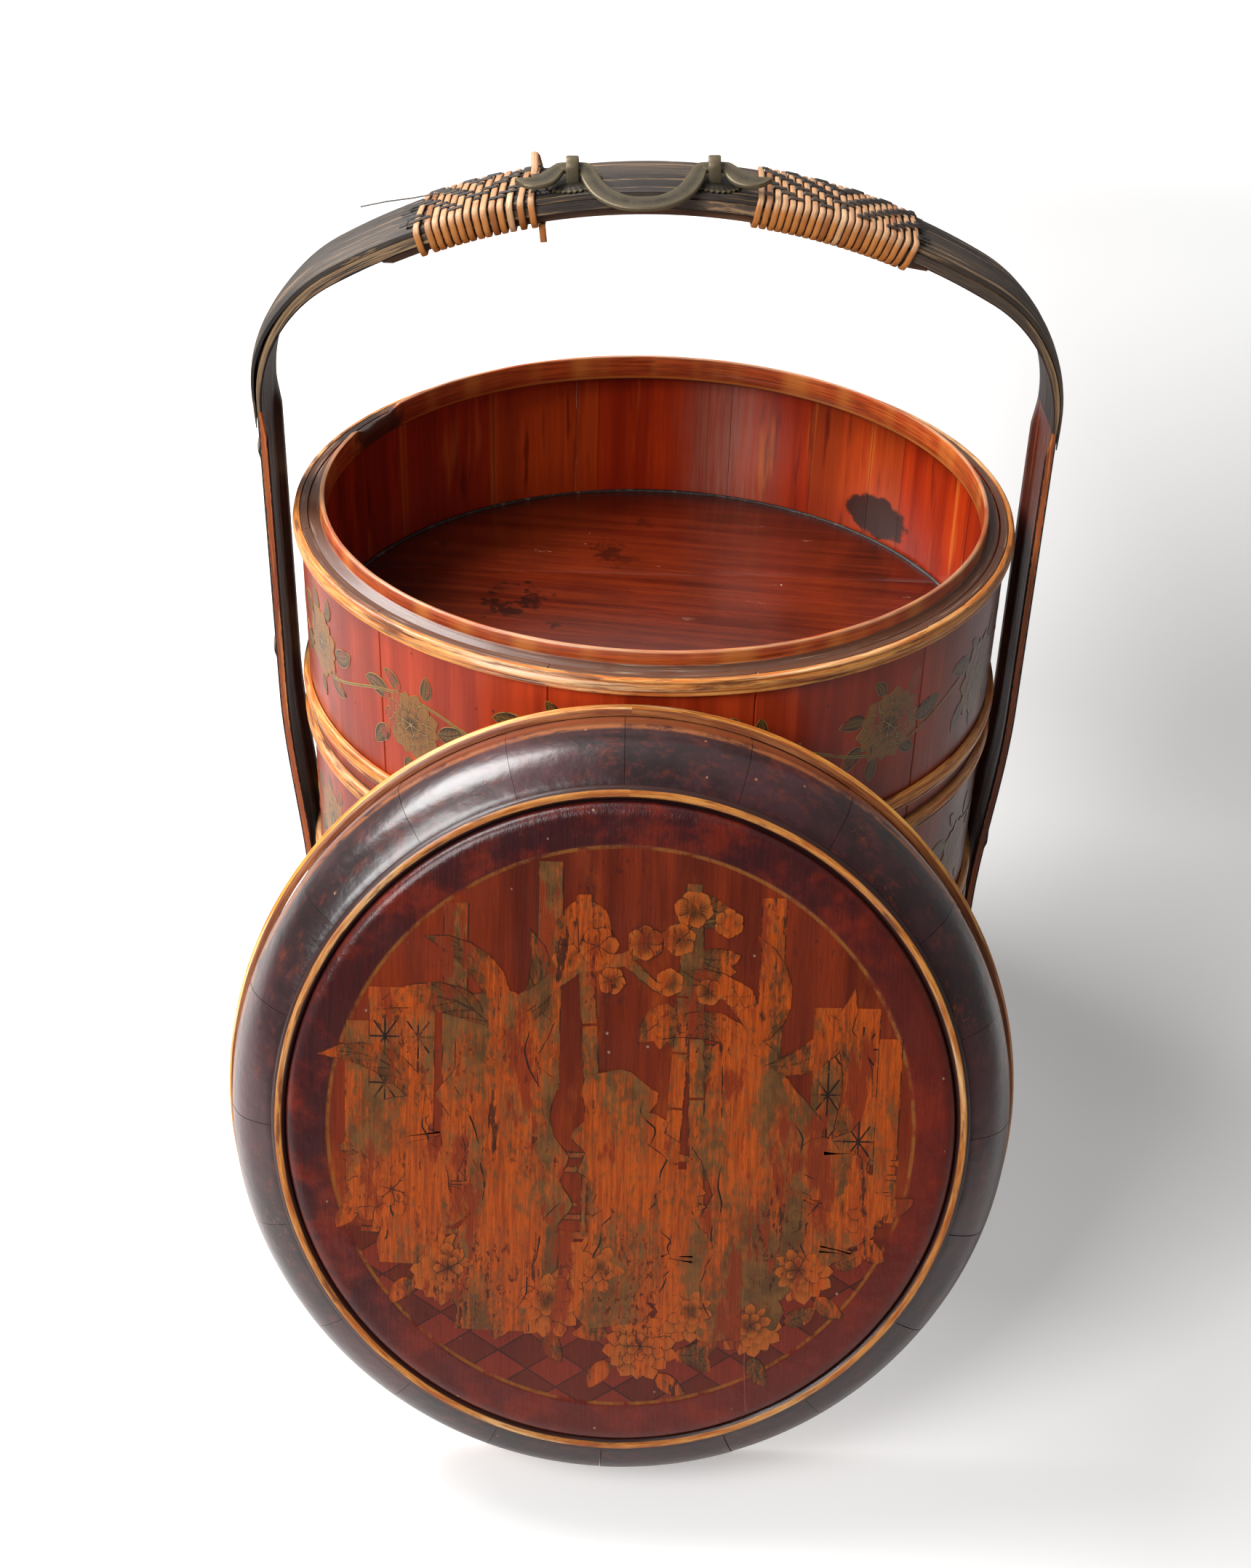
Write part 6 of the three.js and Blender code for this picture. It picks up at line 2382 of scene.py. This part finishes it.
class Studio:
    """Camera, lamps, world and floor."""

    FOCAL = 2879.07  # pixels, on an image 1720 wide
    IMAGE = 1720
    PITCH = 33.93
    ROLL = 1.60
    EYE = (-11.08 * MM, -1019.20 * MM, 860.25 * MM)  # from the tiers' axis on the floor
    LAMPS = (("front", (-1.4, -1.6, 1.9), 1.2, 62.0), ("high", (-1.35, 0.6, 2.0), 1.3, 78.0))
    GLOSS = 0.04  # how much of the bright surroundings gloss mirrors

    def __init__(self, axis: Vector) -> None:
        """Takes the tiers' axis."""
        self.axis = axis

    def camera(self) -> None:
        """Sets the camera as the photograph has it."""
        data = bpy.data.cameras.new("camera")
        data.sensor_fit, data.sensor_width = "HORIZONTAL", 36.0
        data.lens = self.FOCAL * data.sensor_width / self.IMAGE
        data.clip_start, data.clip_end = 0.01, 100.0
        obj = bpy.data.objects.new("camera", data)
        bpy.context.collection.objects.link(obj)
        turn = Matrix.Rotation(radians(90 - self.PITCH), 4, "X") @ Matrix.Rotation(radians(self.ROLL), 4, "Z")
        obj.matrix_world = Matrix.Translation(Vector(self.EYE) + Vector((0, self.axis.y, 0))) @ turn
        bpy.context.scene.camera = obj

    def lamps(self) -> None:
        """Hangs soft boxes at the left, in front and behind."""
        for name, place, size, power in self.LAMPS:
            data = bpy.data.lights.new(name, "AREA")
            data.shape, data.size, data.energy = "SQUARE", size, power
            obj = bpy.data.objects.new(name, data)
            bpy.context.collection.objects.link(obj)
            at = Vector(place) + Vector((0, self.axis.y, 0))
            look = Vector((0, self.axis.y, 0.25)) - at
            obj.matrix_world = Matrix.Translation(at) @ look.to_track_quat("-Z", "Y").to_matrix().to_4x4()

    def _looking(self, g: Graph) -> Field:
        """Tells what the camera sees from what only lights the part.

        Args:
            g: the graph that asks.

        Returns:
            1 for what is seen straight or through glass, and a little for what gloss mirrors.
        """
        kinds = ("Camera", "Transmission", "Glossy")
        straight, glass, gloss = (g.put("LightPath", {}, f"Is {kind} Ray") for kind in kinds)
        return g.math("MAXIMUM", g.math("MAXIMUM", straight, glass), gloss * self.GLOSS)

    def world(self) -> None:
        """Fills the room with pale light; the camera sees white."""
        world = bpy.data.worlds.new("room")
        bpy.context.scene.world = world
        world.use_nodes = True
        g = Graph(world.node_tree)
        x, y, _ = g.split(g.put("TexCoord", {}, "Generated"))
        sides = g.math("MAXIMUM", g.band(x, -0.35, -0.9) * 0.65, g.band(x, -0.1, 0.7) * 0.75)
        dark = g.math("MAXIMUM", g.band(y, 0.25, -0.55), sides)
        room = g.put("MapRange", {0: dark, 3: 0.6, 4: 0.1})
        strength = g.put("Mix", {0: self._looking(g), 2: room, 3: 1.0}, data_type="FLOAT")
        g.feed(world.node_tree.nodes["Background"], {"Color": (1.0, 1.0, 1.0, 1.0), "Strength": strength})

    def floor(self) -> None:
        """Lays a wide pale floor that bends up far behind."""
        bend = [(3.2 + 1.2 * sin(a), 1.2 * (1 - cos(a))) for a in steps(0.0, 1.3, 10)[1:]]
        line = [(-6.0, 0.0), (3.2, 0.0), *bend, (4.9, 3.2)]
        rows = [[Vector((x, y, z - 0.2 * MM)) for x in steps(-5.0, 5.0, 4)] for y, z in line]
        obj = Bench.loft("studio_floor", rows, closed=False)
        material = bpy.data.materials.new("pale floor")
        material.use_nodes = True
        g, nodes = Graph(material.node_tree), material.node_tree.nodes
        x, y, _ = g.split(g.put("TexCoord", {}, "Object"))
        far = g.band(y, 0.3, 2.2) + g.band(x, 0.0, -0.8)
        for along, near, end in ((y, -0.9, -2.4), (x, 0.9, 2.4), (x, -1.4, -3.0), (y, 1.6, 3.0)):
            far = far + g.band(along, near, end) * 3.0
        # painted shadow: to the right, and most of all behind on the right, the floor's glow is lowered;
        # further right its own colour darkens too, which gloss mirrors
        behind = 0.24 + g.band(y, -0.1, 0.3) * g.band(y, 1.5, 0.4) * 0.3
        shade = g.band(x, 0.05, 0.5) * behind
        dim = g.band(x, 0.35, 1.0)
        pale = g.mix(dim, (0.64, 0.63, 0.62, 1.0), (0.3, 0.3, 0.3, 1.0))
        seen = self._looking(g) * (0.38 + (far + dim) * 0.3 - shade)
        glow = g.put("Emission", {"Color": (1, 1, 1, 1), "Strength": seen})
        shader = nodes["Principled BSDF"]
        g.feed(shader, {"Base Color": pale, "Roughness": 0.7, "Specular IOR Level": 0.2})
        total = g.put("AddShader", {0: Field(g, shader.outputs[0]), 1: glow})
        g.feed(nodes["Material Output"], {"Surface": total})
        obj.data.materials.append(material)


def dress_frame(materials: dict[str, Material]) -> None:
    """Gives the CAD nodes that stay in view their finish.

    Args:
        materials: material by node name.
    """
    for name, material in materials.items():
        node = frame["nodes"][name]
        node.data.materials.clear()
        node.data.materials.append(material)


TIERS = (("lower", Body.CARRIER, 8), ("middle", Body.MIDDLE, 12), ("upper", Body.UPPER, 12))
OPEN_TIER = "upper"  # the one that shows its inside, and that the lid leans on
CHIP = (2.69, 0.1)  # turn and half width of the broken place on its neck
ROT = -2.02  # turn of the rotten place on its neck
RUBBED = 15 * MM  # half width of the place on its wall that the lid rubs
BOARDS_TURN = Euler((0.0, 0.0, radians(-7.0)))
RIM_LIP = 187.7 * MM  # the lid's rim hoop is lacquered over inside this radius
BEAD_CREST = 157 * MM  # radius of the crest of the lid's bead


def build_tiers(fx: Effects, axis: Vector, hoop: Material, brush: Brush) -> None:
    """Builds the three tiers.

    Args:
        fx: the shared groups.
        axis: a point on the tiers' axis.
        hoop: material of the hoops.
        brush: holds the blossoms and leaves.
    """
    wall = WallLacquer().make("wall lacquer", fx, axis)
    caulk = Caulk().make("caulk", fx)
    boards = FloorLacquer().make("floor lacquer", fx, axis, BOARDS_TURN)
    gilt = GiltPaint().make("wall gilt", fx, axis)
    for level, (name, body, count) in enumerate(TIERS):
        tier, seen = Tier(name, body, level, count, axis), name == OPEN_TIER
        z, step = tier.size, tier.shoulder
        inside = InsideLacquer(tier.seat + z.floor_up).make(f"{name} inside lacquer", fx, axis)
        wood = CollarWood(step, z.collar_radius + z.neck, step + z.collar_up, step - z.collar_down,
                          rot=ROT if seen else None).make(f"{name} collar wood", fx, axis)
        tier.staves(wall, inside, wood)
        tier.hoops(hoop)
        tier.collar(wood, CHIP if seen else None)
        tier.floor(boards, caulk)
        tier.painting(brush, gilt, RUBBED if seen else 0.0)


def build_lid(fx: Effects, brush: Brush) -> None:
    """Builds the lid.

    Args:
        fx: the shared groups.
        brush: holds the blossoms and leaves.
    """
    lid = Lid()
    place = (fx, lid.origin, lid.tilt)
    rim = HoopBamboo(gold=tint("f0b050"), lip=RIM_LIP, worn=0.2)
    bead = HoopBamboo(tint("cf8c42"), tint("eec890"), tint("a0521c"), crest=BEAD_CREST, worn=0.3)
    gilt = GiltPaint(fill=tint("6a4420"), foot=tint("4a280c"), tip=tint("9c4e18"), leaf=tint("52351a"),
                     line=tint("26140a"), bare=tint("b44c0a"), deep=tint("702408"), ground=tint("7c2a0a"),
                     worn=0.5, shade=0.0, broken=0.45, grit=1.0, flat=True)
    lid.ring(LidLacquer(lid.size.band_height).make("lid lacquer", *place))
    lid.trim(rim.make("lid rim bamboo", *place), bead.make("lid bead bamboo", *place))
    lid.panel(PanelLacquer(lid.size.panel_radius).make("panel lacquer", *place))
    lid.painting(brush, gilt.make("panel gilt", *place))


def build_handle(fx: Effects, line: ArchLine) -> None:
    """Builds the arch, its windings and its fittings.

    Args:
        fx: the shared groups.
        line: the arch's line.
    """
    black = LongBamboo(tint("5c4c3e"), tint("d0a574"), tint("201814"), 0.6, 0.42).make("black bamboo", fx)
    raw = LongBamboo(tint("d8702c"), tint("ee9c52"), tint("7a3414"), 0.6, skin=4.9 * MM)
    # painted shade: the channel inside the left leg and under the arch is a near-black copy of the right
    # leg's brown channel
    dark = LongBamboo(tint("2a2320"), tint("6a4a38"), tint("14100f"), 0.3, 0.45).make("dark channel", fx)
    brown = LongBamboo(tint("7c3018"), tint("a85c34"), tint("42170c"), 0.4).make("brown channel", fx)
    lath = LongBamboo(tint("8a5a34"), tint("d8a468"), tint("3a261a"), 0.6).make("lath wood", fx)
    handle = Handle(line)
    handle.culm(black, raw.make("raw bamboo edge", fx), dark, brown)
    handle.strip(black)
    handle.lath(lath)
    cane = SplitCane().make("split cane", fx)
    strand = LongBamboo(tint("3b2f28"), tint("77614f"), tint("1d1714"), 0.4).make("dark strand", fx)
    left = Winding("cane_left", 14, -125 * MM, -61 * MM, 3.4 * MM, 8 * MM, 8, 0.5 * MM, 3.2 * MM,
                   ((0, 1.75), (1, 1.15), (10, 1.15), (11, 1.35), (12, 1.35)))
    right = Winding("cane_right", 22, 43.5 * MM, 127 * MM, 3.1 * MM, 0.0, 9, 0.12 * MM, 4.0 * MM,
                    ((0, 1.15), (1, 1.15), (20, 1.3)), bare=2)
    for winding in (left, right):
        winding.cane_piece(line, cane)
        winding.weave(line, strand)
    LooseEnds(line).build(cane, strand)
    fittings = Fittings(line, DarkMetal().make("dark metal", fx))
    fittings.plates()
    fittings.eyes()
    fittings.bail()


def main() -> None:
    """Builds the carrier's looks in order."""
    logging.basicConfig(level=logging.INFO, format="%(message)s")
    bpy.context.scene.view_settings.view_transform = "Standard"
    low, high = (Vector(c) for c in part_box("upper_floor"))
    axis = Vector((0.0, (low.y + high.y) / 2, 0.0))
    studio = Studio(axis)
    studio.camera()
    studio.lamps()
    studio.world()
    studio.floor()
    fx, brush = Effects(), Brush()
    hoop = HoopBamboo().make("hoop bamboo", fx, axis)
    build_tiers(fx, axis, hoop, brush)
    build_lid(fx, brush)
    brush.clear()
    build_handle(fx, ArchLine(axis.y))
    dress_frame({"peg_left": hoop, "peg_right": hoop})


if __name__ == "__main__":
    main()
